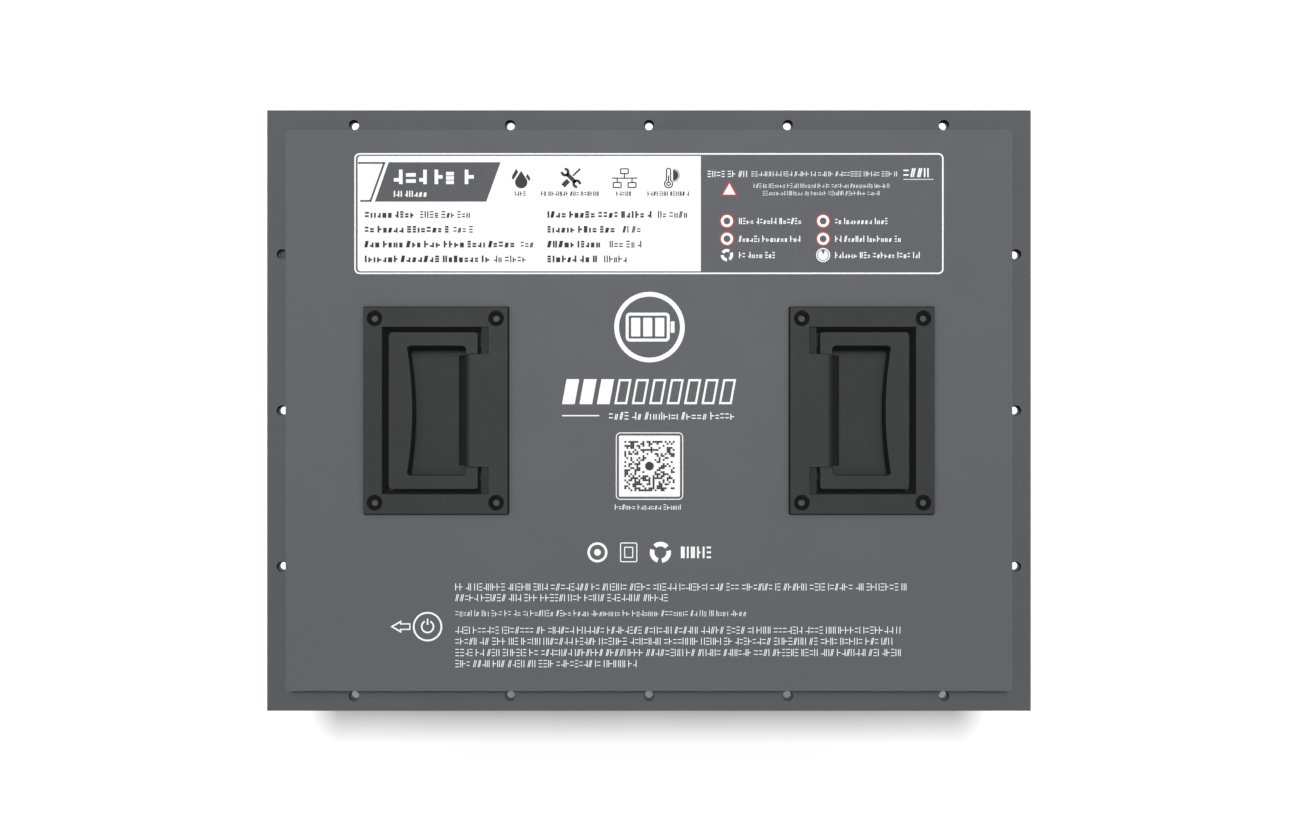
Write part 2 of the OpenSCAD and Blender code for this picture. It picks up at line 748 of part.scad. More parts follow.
// Board screws with their spacers, and the two screws through the bracket's foot.
module bms_screws() {
    spacer_r = 2.8;
    color("silver") {
        for (p = bms_screw_spots) translate([0, p[0], p[1]]) {
            translate([board_x - 2.2, 0, 0]) rod_x(2.8, 2.2);
            translate([board_x - 1, 0, 0]) rod_x(1.5, bracket_x - board_x + 0.8);
            translate([board_x + board_t, 0, 0]) rod_x(spacer_r, board_gap);
        }
        for (y = foot_screw_ys) translate([bracket_x - bracket_t - bracket_foot / 2, y, 0]) {
            cylinder(r = 2, h = sheet + bracket_t + 1);
            translate([0, 0, sheet + bracket_t]) cylinder(r = 3.8, h = 2.6);
        }
    }
}

fuse_x = -182;
fuse_y = 96;
fuse_top = 24;
fuse_stud_y = 28;

module fuse_base() {
    color("#202020") translate([fuse_x, fuse_y, sheet]) difference() {
        union() {
            block([30, 84, 12], 3);
            for (s = [-1, 1]) translate([0, s * fuse_stud_y, 0]) block([22, 20, fuse_top - sheet], 2);
        }
        for (s = [-1, 1]) translate([0, s * fuse_stud_y, 8]) cylinder(r = 4, h = 40);
    }
    color("silver") translate([fuse_x, fuse_y, 0]) for (s = [-1, 1])
        translate([0, s * fuse_stud_y, sheet + 8.2]) cylinder(r = 3, h = 34 - sheet - 8.2);
}

module main_fuse() {
    blade_t = 2;
    color("#d9d0b8") translate([fuse_x, fuse_y, fuse_top]) difference() {
        union() {
            block([16, 2 * fuse_stud_y + 18, blade_t], 2);
            translate([0, 0, -4]) block([22, 30, 10], 2);
        }
        for (s = [-1, 1]) translate([0, s * fuse_stud_y, -cut]) cylinder(r = 3.2, h = blade_t + 2 * cut);
    }
}

module fuse_nuts() {
    color("silver") for (s = [-1, 1]) translate([fuse_x, fuse_y + s * fuse_stud_y, fuse_top + 4.1]) hex_nut(10, 5, 3 + run);
}

// ---------------------------------------------------------------- cables
// Each cable is a run of sheathed copper with a flat lug at both ends.

cable_r = 4.5;
lug_t = 2;

// A lug lying flat, with its hole at the origin and its barrel towards the given heading.
module lug(heading, hole_r) {
    rotate([0, 0, heading]) difference() {
        union() {
            cylinder(r = 7, h = lug_t);
            translate([0, -6, 0]) cube([13, 12, lug_t]);
        }
        translate([0, 0, -cut]) cylinder(r = hole_r, h = lug_t + 2 * cut);
    }
}

corridor_y = -146.8;               // the gap between the cells and the front wall
corridor_x = -187;
out_row = [row_xs[0] + terminal_x, row_xs[1] - terminal_x];     // the pack's end terminals, at the front

module positive_cables() {
    high = busbar_z + 14;
    color("#c8342c") {
        translate([out_row[1], cell_y(0), busbar_z]) lug(-90, terminal_stud_r + 0.2);
        cable([
            [out_row[1], cell_y(0) - 11, busbar_z + cable_r], [out_row[1], corridor_y, high],
            [-179, corridor_y, high], [corridor_x, corridor_y, high - 10], [corridor_x, corridor_y, 24],
            [fuse_x, fuse_y - fuse_stud_y - 11, fuse_top + lug_t + cable_r]
        ], cable_r);
        translate([fuse_x, fuse_y - fuse_stud_y, fuse_top + 2.05]) lug(-90, 3.2);
        cable([
            [fuse_x, fuse_y + fuse_stud_y + 11, fuse_top + lug_t + cable_r], [fuse_x, 146, 40],
            [-190, 134, 62], [rear_lug_x + 4, pos_y, fit_z - 15]
        ], cable_r);
        translate([fuse_x, fuse_y + fuse_stud_y, fuse_top + 2.05]) lug(90, 3.2);
        rear_lug(pos_y);
    }
}

// The lug between the two nuts on the inner end of a terminal stud, with its barrel downwards.
rear_lug_x = -wall_x + 12.05;

module rear_lug(y) {
    translate([rear_lug_x, y, fit_z]) difference() {
        union() {
            rod_x(8, lug_t);
            translate([0, -6, -17]) cube([lug_t, 12, 17]);
        }
        translate([-cut, 0, 0]) rod_x(4.1, lug_t + 2 * cut);
    }
}

// The lug screwed to one of the board's current pads.
module pad_lug(pad) {
    translate([pad[0] - lug_t, pad[1] - 7, pad[2] - 6]) cube([lug_t, 14, 12]);
}

module negative_cables() {
    low = busbar_z + 4;
    color("#1b1b1b") {
        translate([out_row[0], cell_y(0), busbar_z]) lug(-90, terminal_stud_r + 0.2);
        cable([
            [out_row[0], cell_y(0) - 11, busbar_z + cable_r], [out_row[0] - 8, corridor_y, low],
            [-152, corridor_y, low], [-162, -130, 100], [-162, -84, 86], [b_minus[0] - 4.2, -72, 86]
        ], cable_r);
        pad_lug(b_minus);
        cable([
            [p_minus[0] - 4.2, 50, 86], [-166, 50, 80], [-184, 58, 74], [rear_lug_x + 4, neg_y, fit_z - 15]
        ], cable_r);
        pad_lug(p_minus);
        rear_lug(neg_y);
    }
}

// Voltage sensing wires: one bundle from the board to each half of the module.
module sense_harness() {
    trunk_z = cover_z - 3.4;
    trunk_x = row_xs[0] - terminal_x - 13;
    color("#d8b23a") for (s = [-1, 1])
        cable([
            [board_x - 6, 5 * s, board_z + 34], [board_x - 6, 5 * s, trunk_z - 2],
            [trunk_x, 5 * s, trunk_z], [trunk_x, 128 * s, trunk_z]
        ], 2.2);
}

// ---------------------------------------------------------------- power terminals
// Each terminal is drawn with x = 0 on the outer face of the left wall, x growing inwards.

block_t = 8;
block_w = 34;
block_h = 38;
cap_hinge = [-5, 23];              // x and z of the cap's hinge from the terminal's centre
cap_pin_r = 1.5;
cap_knuckle_r = 3.2;
cap_front = -28.6;
cap_w = 32;
cap_h = 36;
cap_wall = 1.6;

module at_terminal(y) {
    translate([-wall_x, y, fit_z]) children();
}

module terminal_block() {
    difference() {
        union() {
            translate([-block_t, 0, 0]) rotate([0, 90, 0]) block([block_h, block_w, block_t], 2);
            rod_x(terminal_hole_r - 0.2, 6);
            // lugs either side of the cap's knuckle
            for (s = [-1, 1]) {
                translate([cap_hinge[0], s * 12.5, cap_hinge[1]]) rod_y(cap_knuckle_r, 5);
                translate([-block_t, s * 12.5 - 2.5, block_h / 2 - 1]) cube([6.2, 5, cap_hinge[1] - block_h / 2 + 1]);
            }
        }
        translate([-block_t - cut, 0, 0]) rod_x(4 + run, 20);
        translate([cap_hinge[0], 0, cap_hinge[1]]) rod_y(cap_pin_r + run, 40);
        for (s = [-1, 1], t = [-1, 1]) translate([-block_t - cut, s * term_screw_y, t * term_screw_z]) {
            rod_x(term_screw_r + run, block_t + 2 * cut);
            rod_x(3.1, 3 + cut);
        }
    }
}

module positive_terminal_block() { color("#b3261e") at_terminal(pos_y) terminal_block(); }

module negative_terminal_block() { color("#232323") at_terminal(neg_y) terminal_block(); }

module terminal_screws() {
    color("silver") for (y = [pos_y, neg_y], s = [-1, 1], t = [-1, 1])
        at_terminal(y) translate([-block_t + 0.4, s * term_screw_y, t * term_screw_z]) difference() {
            union() {
                rod_x(2.8, 2.5);
                rod_x(term_screw_r, block_t + sheet + 2);
            }
            translate([-cut, 0, 0]) rod_x(1.25, 1.4 + cut, $fn = 6);
        }
}

// Brass studs with a seating collar, through the blocks and into the case.
stud_free = 15;
stud_inner = 23;
stud_nut_t = 5.9;

module terminal_studs() {
    collar_t = 3;
    color("#c9a24a") for (y = [pos_y, neg_y]) at_terminal(y) {
        translate([-block_t - collar_t - stud_free, 0, 0]) rod_x(4, block_t + collar_t + stud_free + stud_inner);
        translate([-block_t - collar_t, 0, 0]) rod_x(9, collar_t);
    }
}

module terminal_cap() {
    depth = -block_t - gap - cap_front;
    difference() {
        union() {
            difference() {
                translate([cap_front, 0, 0]) rotate([0, 90, 0]) block([cap_h, cap_w, depth], 2.5);
                translate([cap_front + cap_wall, 0, 0])
                    rotate([0, 90, 0]) block([cap_h - 2 * cap_wall, cap_w - 2 * cap_wall, depth], 1.5);
            }
            translate([cap_hinge[0], 0, cap_hinge[1]]) rod_y(cap_knuckle_r, 19.4);
            // the arm from the knuckle to the cap's top
            rotate([90, 0, 0]) linear_extrude(19.4, center = true) polygon([
                [cap_hinge[0], cap_hinge[1] + cap_knuckle_r], [cap_hinge[0], cap_hinge[1] - cap_knuckle_r + 0.4],
                [-block_t - gap, cap_hinge[1] - cap_knuckle_r + 0.4], [-block_t - gap, cap_h / 2 - 1],
                [-block_t - 4.5, cap_h / 2 - 1], [-block_t - 4.5, cap_hinge[1] - 1],
                [-block_t - 2, cap_hinge[1] + cap_knuckle_r]
            ]);
            // thumb tab at the lower edge
            translate([-block_t - 5, -7, -cap_h / 2 - 3]) cube([4, 14, 4]);
        }
        translate([cap_hinge[0], 0, cap_hinge[1]]) rod_y(cap_pin_r + run, 40);
    }
}

module positive_terminal_cap() { color("#b3261e") at_terminal(pos_y) terminal_cap(); }

module negative_terminal_cap() { color("#232323") at_terminal(neg_y) terminal_cap(); }

module terminal_cap_pins() {
    color("silver") for (y = [pos_y, neg_y])
        at_terminal(y) translate([cap_hinge[0], 0, cap_hinge[1]]) rod_y(cap_pin_r, 29.6);
}

// ---------------------------------------------------------------- main switch

button_r = 8.2;
button_run = 0.15;
bezel_out = 3;                 // how far the switch's rim stands out from the wall
light_r = [8.9, 10.2];

module at_switch() {
    translate([-wall_x, switch_y, fit_z]) children();
}

module switch_body() {
    color("silver") at_switch() difference() {
        union() {
            translate([-bezel_out, 0, 0]) rod_x(13, bezel_out - 0.8);
            translate([-0.8, 0, 0]) rod_x(12.4, 0.8);
            rod_x(switch_hole_r - 0.2, 16);
            translate([15, 0, 0]) rod_x(9.6, 12);
        }
        translate([-bezel_out - cut, 0, 0]) rod_x(button_r + button_run, 8 + cut);
        translate([-bezel_out - cut, 0, 0]) difference() {
            rod_x(light_r[1] + run, 1 + cut);
            translate([-cut, 0, 0]) rod_x(light_r[0] - run, 4);
        }
    }
}

module switch_button() {
    dish_r = 40;
    front = -bezel_out - 0.8;
    color("silver") at_switch() difference() {
        translate([front, 0, 0]) rod_x(button_r, 5.8);
        translate([front - dish_r + 0.6, 0, 0]) sphere(r = dish_r, $fn = 96);
    }
}

module switch_light_ring() {
    color("#9fd0ff") at_switch() translate([-bezel_out - 0.1, 0, 0]) difference() {
        rod_x(light_r[1], 1);
        translate([-cut, 0, 0]) rod_x(light_r[0], 1 + 2 * cut);
    }
}

// Hexagonal nuts behind the wall, on the switch, the ports and the terminal studs.
module panel_nuts() {
    color("silver") {
        at_switch() translate([sheet, 0, 0]) rotate([0, 90, 0]) hex_nut(27, 4, switch_hole_r - 0.15);
        for (y = port_ys) at_port(y) translate([sheet, 0, 0]) rotate([0, 90, 0]) hex_nut(20, 3.5, port_hole_r - 0.15);
        for (y = [pos_y, neg_y], x = [6.05, 14.1]) at_terminal(y)
            translate([x, 0, 0]) rotate([0, 90, 0]) hex_nut(13, stud_nut_t, 4 + run);
    }
}

// ---------------------------------------------------------------- signal ports and vent

nose_r = 7.4;
nose_out = 14;

module at_port(y) {
    translate([-wall_x, y, fit_z]) children();
}

// Panel sockets: a hexagonal flange, a threaded nose with a recess, and five contact pins.
module port_shells() {
    color("silver") for (y = port_ys) at_port(y) {
        difference() {
            union() {
                translate([-3, 0, 0]) rotate([0, 90, 0]) cylinder(r = 22 / sqrt(3), h = 3, $fn = 6);
                translate([-nose_out, 0, 0]) rod_x(nose_r, nose_out);
                rod_x(port_hole_r - 0.2, 14);
            }
            translate([-nose_out - cut, 0, 0]) rod_x(nose_r - 1.4, 9 + cut);
        }
        for (a = [0 : 72 : 359]) rotate([a, 0, 0]) translate([-nose_out + 3, 0, 3.2]) rod_x(0.8, 7);
    }
}

// Push-on dust cap with a pull tab.
module port_cap() {
    wall = 1.6;
    depth = 11;
    difference() {
        union() {
            translate([-nose_out - wall - 0.2, 0, 0]) rod_x(nose_r + wall + 0.2, depth + wall);
            translate([-nose_out - wall + 6, -3, -nose_r - wall - 5]) cube([1.6, 6, 8]);
            for (a = [0 : 30 : 359]) rotate([a, 0, 0])
                translate([-nose_out - wall + 1.3, -0.8, nose_r]) cube([8, 1.6, wall + 0.9]);
        }
        translate([-nose_out - 0.2, 0, 0]) rod_x(nose_r + 0.2, depth + 2);
    }
}

module comm_port_cap() { color("#262626") at_port(port_ys[0]) port_cap(); }

module display_port_cap() { color("#262626") at_port(port_ys[1]) port_cap(); }

module vent_valve() {
    color("#1f1f1f") translate([-wall_x, vent_spot[0], vent_spot[1]]) difference() {
        union() {
            translate([-2.5, 0, 0]) rotate([0, 90, 0]) cylinder(r = 18 / sqrt(3), h = 2.5, $fn = 6);
            translate([-7, 0, 0]) rod_x(7.6, 5);
            rod_x(vent_hole_r - 0.15, 9);
        }
        for (a = [0 : 60 : 359]) rotate([a, 0, 0]) translate([-5, -1.2, 5]) cube([1.8, 2.4, 4]);
        translate([-4, 0, 0]) rod_x(3, 20);
    }
}

// ---------------------------------------------------------------- drawing

case_tub();
lid();
lid_seal();
lid_studs();
lid_nuts();
rating_label();
color("#3f4140") at_handle(-1) handle_housing();  // left_handle_housing
color("#3f4140") at_handle(1) handle_housing();  // right_handle_housing
color("#3f4140") at_handle(-1) handle_bail();  // left_handle_bail
color("#3f4140") at_handle(1) handle_bail();  // right_handle_bail
at_handle(-1) handle_springs();  // left_handle_springs
at_handle(1) handle_springs();  // right_handle_springs
handle_pins();
handle_seals();
handle_backplates();
handle_screws();
handle_nuts();
cell_cans();
cell_cap_plates();
cell_electrode_stacks();
cell_positive_terminals();
cell_negative_terminals();
cell_terminal_seals();
cell_vent_discs();
cell_sleeves();
cell_spacers();
front_end_plate();
rear_end_plate();
module_bands();
busbars();
busbar_nuts();
busbar_cover();
floor_pad();
foam_pads();
bms_bracket();
bms_heatsink();
bms_board();
bms_components();
bms_screws();
fuse_base();
main_fuse();
fuse_nuts();
positive_cables();
negative_cables();
sense_harness();
positive_terminal_block();
negative_terminal_block();
terminal_screws();
terminal_studs();
positive_terminal_cap();
negative_terminal_cap();
terminal_cap_pins();
switch_body();
switch_button();
switch_light_ring();
panel_nuts();
port_shells();
comm_port_cap();
display_port_cap();
vent_valve();
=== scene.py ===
"""Looks for the sealed battery pack: materials, printed marks, threads, springs, floor, light and camera."""

import json
import math
import random

import bmesh
import bpy
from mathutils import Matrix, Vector


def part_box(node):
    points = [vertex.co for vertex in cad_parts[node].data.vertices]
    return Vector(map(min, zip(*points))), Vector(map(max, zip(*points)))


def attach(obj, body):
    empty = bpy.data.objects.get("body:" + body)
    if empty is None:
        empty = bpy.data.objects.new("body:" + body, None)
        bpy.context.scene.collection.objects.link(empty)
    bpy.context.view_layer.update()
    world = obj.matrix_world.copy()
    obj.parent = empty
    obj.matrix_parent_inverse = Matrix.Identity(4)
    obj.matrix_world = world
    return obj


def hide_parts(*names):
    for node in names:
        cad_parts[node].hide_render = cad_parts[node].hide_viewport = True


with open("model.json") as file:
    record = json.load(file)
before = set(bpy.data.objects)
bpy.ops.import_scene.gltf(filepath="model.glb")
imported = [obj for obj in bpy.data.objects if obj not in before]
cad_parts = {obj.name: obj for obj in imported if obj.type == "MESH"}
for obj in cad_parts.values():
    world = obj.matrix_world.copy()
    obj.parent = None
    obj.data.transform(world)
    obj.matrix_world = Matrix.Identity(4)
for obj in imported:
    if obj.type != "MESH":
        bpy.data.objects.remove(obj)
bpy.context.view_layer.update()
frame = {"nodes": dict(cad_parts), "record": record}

MM = 0.001
LID_SHEET = 1.5 * MM
FLANGE_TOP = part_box("lid_seal")[1].z + LID_SHEET
FLANGE_SHADE_TOP = FLANGE_TOP + 4 * MM          # painted shade on the flange and the walls below it ends here, on the lid's step
HOUSING_LOW, HANDLE_RIM = (corner.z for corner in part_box("left_handle_housing"))
GROOVE_TO_FLOOR = 6.5 * MM                     # from the underside of the groove to the recess floor
RECESS_FLOOR = HOUSING_LOW + GROOVE_TO_FLOOR
RECORD = frame["record"]
NODES = frame["nodes"]

# ---------------------------------------------------------------- materials


class Shader:
    """One node-based material being built: each call adds a node and returns its output."""

    def __init__(self, name, color, rough, metal=0.0, specular=0.5, **inputs):
        self.material = bpy.data.materials.new(name)
        self.material.use_nodes = True
        self.tree = self.material.node_tree
        self.tree.nodes.clear()
        out = self.tree.nodes.new("ShaderNodeOutputMaterial")
        self.bsdf = self.tree.nodes.new("ShaderNodeBsdfPrincipled")
        self.tree.links.new(self.bsdf.outputs[0], out.inputs[0])
        self.set("Base Color", (*color, 1.0))
        self.set("Roughness", rough)
        self.set("Metallic", metal)
        self.set("Specular IOR Level", specular)
        for key, value in inputs.items():
            self.set(key.replace("_", " "), value)
        place = self.add("ShaderNodeTexCoord")
        self.coords, self.facing = place.outputs["Object"], place.outputs["Normal"]

    def add(self, kind, **settings):
        node = self.tree.nodes.new(kind)
        for key, value in settings.items():
            setattr(node, key, value)
        return node

    def set(self, name, value):
        socket = self.bsdf.inputs[name]
        if isinstance(value, bpy.types.NodeSocket):
            self.tree.links.new(value, socket)
        else:
            socket.default_value = value

    def plug(self, node, index, value):
        if isinstance(value, bpy.types.NodeSocket):
            self.tree.links.new(value, node.inputs[index])
        else:
            node.inputs[index].default_value = value

    def stretched(self, scale):
        node = self.add("ShaderNodeMapping")
        self.plug(node, "Vector", self.coords)
        node.inputs["Scale"].default_value = scale
        return node.outputs[0]

    def noise(self, size, detail=3.0, rough=0.5, vector=None):
        """Cloudy value from 0 to 1 whose features are about size metres across."""
        node = self.add("ShaderNodeTexNoise")
        self.plug(node, "Vector", vector or self.coords)
        node.inputs["Scale"].default_value = 1.0 / size
        node.inputs["Detail"].default_value = detail
        node.inputs["Roughness"].default_value = rough
        return node.outputs[0]

    def cells(self, size, vector=None):
        node = self.add("ShaderNodeTexVoronoi")
        self.plug(node, "Vector", vector or self.coords)
        node.inputs["Scale"].default_value = 1.0 / size
        return node.outputs["Distance"]

    def math(self, operation, a, b=0.0):
        node = self.add("ShaderNodeMath", operation=operation)
        self.plug(node, 0, a)
        self.plug(node, 1, b)
        return node.outputs[0]

    def remap(self, value, low, high, to_low=0.0, to_high=1.0):
        node = self.add("ShaderNodeMapRange")
        for index, item in enumerate((value, low, high, to_low, to_high)):
            self.plug(node, index, item)
        return node.outputs[0]

    def mix(self, factor, a, b):
        node = self.add("ShaderNodeMix", data_type="RGBA")
        self.plug(node, 0, factor)
        self.plug(node, 6, a if isinstance(a, bpy.types.NodeSocket) else (*a, 1.0))
        self.plug(node, 7, b if isinstance(b, bpy.types.NodeSocket) else (*b, 1.0))
        return node.outputs[2]

    def bump(self, height, depth, strength=1.0, normal=None):
        """Surface relief: height runs from 0 to 1 over depth metres."""
        node = self.add("ShaderNodeBump")
        node.inputs["Strength"].default_value = strength
        node.inputs["Distance"].default_value = depth
        self.plug(node, "Height", height)
        if normal is not None:
            self.plug(node, "Normal", normal)
        return node.outputs[0]

    def edges(self, radius):
        """1 along outer edges closer than radius, 0 on flat faces."""
        bevel = self.add("ShaderNodeBevel", samples=4)
        bevel.inputs["Radius"].default_value = radius
        geometry = self.add("ShaderNodeNewGeometry")
        dot = self.add("ShaderNodeVectorMath", operation="DOT_PRODUCT")
        self.plug(dot, 0, bevel.outputs[0])
        self.plug(dot, 1, geometry.outputs["Normal"])
        return self.remap(dot.outputs["Value"], 0.985, 0.80)

    def above(self, height):
        """1 on surfaces higher than height, 0 below it."""
        split = self.add("ShaderNodeSeparateXYZ")
        self.plug(split, 0, self.coords)
        return self.math("GREATER_THAN", split.outputs[2], height)

    def steep(self):
        """1 on walls and rounded edges, 0 on faces that look up or down with the part at rest."""
        split = self.add("ShaderNodeSeparateXYZ")
        self.plug(split, 0, self.facing)
        return self.remap(self.math("ABSOLUTE", split.outputs[2]), 1.0, 0.78)

    def gaps(self, reach):
        """1 deep in narrow gaps and corners, 0 on open faces; reach is in metres."""
        node = self.add("ShaderNodeAmbientOcclusion", samples=8)
        node.inputs["Distance"].default_value = reach
        return self.remap(node.outputs["AO"], 0.95, 0.25)

    def far(self, near, distant):
        """0 nearer than near metres to the object's origin, 1 beyond distant metres."""
        length = self.add("ShaderNodeVectorMath", operation="LENGTH")
        self.plug(length, 0, self.coords)
        return self.remap(length.outputs["Value"], near, distant)


def shade(color, factor):
    return tuple(channel * factor for channel in color)


def powder_coat(name, color, rough=0.6, grain=0.9 * MM, relief=0.02 * MM, wear=0.35, reach=12 * MM, dark=0.5,
                darkest=1.0, low_shade=1.0, wall_shade=1.0, grit=0.35, dull=(), painted_glow=0.0):
    """Sprayed and baked paint: fine orange peel, painted shade in the gaps, rubbed edges.

    Dull lists bands of height with painted shade: (low, high, how much). The painted glow is a trace of
    glow painted into the gaps, standing in for the stray light that reaches them.
    """
    s = Shader(name, color, rough)
    drift = s.noise(60 * MM, 4)
    tint = s.mix(s.remap(drift, 0.3, 0.7), shade(color, 0.98), shade(color, 1.02))
    speck = s.noise(0.7 * MM, 2)
    tint = s.mix(s.remap(speck, 0.35, 0.7, 0.0, grit), tint, shade(color, 0.86))
    rub = s.math("MULTIPLY", s.edges(0.9 * MM), s.remap(s.noise(7 * MM, 4), 0.42, 0.66, 0.1, 1.0))
    tint = s.mix(s.math("MULTIPLY", rub, wear), tint, shade(color, 1.9))
    # Painted shade: gaps and corners (ambient occlusion), steep walls and the listed height bands are painted
    # darker and less shiny.
    painted_shade = s.math("MINIMUM", s.math("MULTIPLY", s.gaps(reach), dark), darkest)
    if wall_shade < 1:
        painted_shade = s.math("MAXIMUM", painted_shade, s.math("MULTIPLY", s.steep(), 1.0 - wall_shade))
    for low, high, amount in dull:
        band = s.math("SUBTRACT", s.above(low), s.above(high))
        painted_shade = s.math("MAXIMUM", painted_shade, s.math("MULTIPLY", band, amount))
    tint = s.mix(painted_shade, tint, shade(color, 0.1))
    # Painted shade: the paint below the lid's step is darker.
    if low_shade < 1:
        dimmed = s.mix(1.0 - low_shade, tint, (0, 0, 0))
        tint = s.mix(s.above(FLANGE_SHADE_TOP), dimmed, tint)
    s.set("Base Color", tint)
    s.set("Specular IOR Level", s.remap(painted_shade, 0.0, 1.0, 0.12, 0.0))
    # Painted light: a faint glow in the shaded gaps stands in for stray light.
    if painted_glow:
        s.set("Emission Color", (1.0, 1.0, 1.0, 1.0))
        s.set("Emission Strength", s.math("MULTIPLY", painted_shade, painted_glow))
    scuff = s.remap(s.noise(24 * MM, 5, 0.62), 0.35, 0.7, -0.03, 0.04)
    s.set("Roughness", s.math("ADD", scuff, rough))
    peel = s.bump(s.noise(grain, 2), relief, 0.5)
    s.set("Normal", s.bump(s.noise(2.6 * grain, 2), relief * 1.6, 0.4, peel))
    return s.material


def plated(name, color, rough, streak=(1, 1, 1), blotch=0.12, relief=0.004 * MM):
    """Bare or plated metal with fine drawn streaks and a slightly uneven finish."""
    s = Shader(name, color, rough, metal=1.0)
    lines = s.noise(0.35 * MM, 3, vector=s.stretched(streak))
    cloud = s.noise(5 * MM, 4)
    s.set("Base Color", s.mix(s.remap(cloud, 0.3, 0.7), shade(color, 1 - blotch), color))
    uneven = s.remap(lines, 0.3, 0.7, -0.07, 0.09)
    s.set("Roughness", s.math("ADD", uneven, rough))
    s.set("Normal", s.bump(lines, relief, 0.6))
    return s.material


def black_oxide(name):
    """Blackened steel: a dull, slightly oily black skin with faint turning marks."""
    s = Shader(name, (0.006, 0.0062, 0.0062), 0.8, specular=0.02)
    cloud = s.noise(2.5 * MM, 4)
    s.set("Base Color", s.mix(s.remap(cloud, 0.3, 0.7), (0.005, 0.005, 0.005), (0.009, 0.009, 0.0095)))
    s.set("Roughness", s.remap(s.noise(1.2 * MM, 3), 0.3, 0.7, 0.7, 0.85))
    s.set("Normal", s.bump(s.noise(0.25 * MM, 2), 0.006 * MM, 0.6))
    return s.material


def moulded(name, color, rough=0.42, grain=0.5 * MM, relief=0.012 * MM, glossy=0.0, shine=0.5):
    """Moulded plastic or rubber: fine spark-eroded grain, soft colour drift and paler rubbed edges."""
    s = Shader(name, color, rough, specular=shine, Coat_Weight=glossy, Coat_Roughness=0.15)
    cloud = s.noise(18 * MM, 4)
    tint = s.mix(s.remap(cloud, 0.3, 0.7), shade(color, 0.9), shade(color, 1.08))
    tint = s.mix(s.math("MULTIPLY", s.edges(0.5 * MM), 0.3), tint, shade(color, 1.8))
    s.set("Base Color", tint)
    s.set("Roughness", s.remap(s.noise(3 * MM, 4), 0.3, 0.7, rough - 0.05, rough + 0.08))
    s.set("Normal", s.bump(s.noise(grain, 2), relief, 0.5))
    return s.material


def foam(name, color):
    s = Shader(name, color, 0.95, specular=0.2)
    pores = s.cells(1.1 * MM)
    s.set("Base Color", s.mix(s.remap(pores, 0.0, 0.5), shade(color, 0.55), shade(color, 1.15)))
    s.set("Normal", s.bump(pores, 0.3 * MM, 0.7))
    return s.material


def ink(name, color, rough=0.6):
    """Screen-printed ink: nearly flat, with a faint mesh texture and slightly uneven cover."""
    s = Shader(name, color, rough, specular=0.12)
    cover = s.noise(1.6 * MM, 4)
    s.set("Base Color", s.mix(s.remap(cover, 0.3, 0.75), shade(color, 0.95), color))
    s.set("Roughness", s.remap(s.noise(6 * MM, 3), 0.3, 0.7, rough - 0.03, rough + 0.05))
    s.set("Normal", s.bump(s.noise(0.3 * MM, 1), 0.004 * MM, 0.4))
    return s.material


def circuit_board(name):
    """Green lacquer over copper tracks, with a grid of pale solder points."""
    s = Shader(name, (0.01, 0.09, 0.035), 0.3, Coat_Weight=0.4)
    tracks = s.remap(s.noise(3 * MM, 0, vector=s.stretched((1, 0.25, 1))), 0.49, 0.51)
    s.set("Base Color", s.mix(tracks, (0.008, 0.075, 0.03), (0.02, 0.15, 0.06)))
    dots = s.remap(s.cells(4 * MM), 0.09, 0.07)
    s.set("Metallic", s.math("MULTIPLY", dots, 0.8))
    s.set("Normal", s.bump(tracks, 0.02 * MM, 0.5))
    return s.material


def light_guide(name):
    s = Shader(name, (0.62, 0.74, 0.84), 0.28, Coat_Weight=0.3)
    s.set("Emission Color", (0.55, 0.8, 1.0, 1.0))
    s.set("Emission Strength", 0.15)
    s.set("Roughness", s.remap(s.noise(1 * MM, 3), 0.3, 0.7, 0.24, 0.36))
    s.set("Normal", s.bump(s.noise(0.4 * MM, 2), 0.01 * MM, 0.4))
    return s.material


CASE_GREY = (0.082, 0.086, 0.094)
HANDLE_GREY = (0.0265, 0.028, 0.0275)
WHITE_INK = (0.7, 0.7, 0.7)
RED_INK = (0.36, 0.05, 0.04)

HANDLE_COAT = {"rough": 0.6, "grain": 0.5 * MM, "relief": 0.025 * MM, "wear": 0.5, "grit": 0.9,
               "reach": 8 * MM, "dark": 0.95, "darkest": 0.6}
# Painted shade by height: the groove by the hinge block is painted nearly black, and the shelves and walls
# below the rim are painted darker.
HANDLE_SHADE_BANDS = ((HOUSING_LOW - 1 * MM, RECESS_FLOOR - 0.5 * MM, 0.95),
               (RECESS_FLOOR + 1.5 * MM, HANDLE_RIM - 0.9 * MM, 0.42))


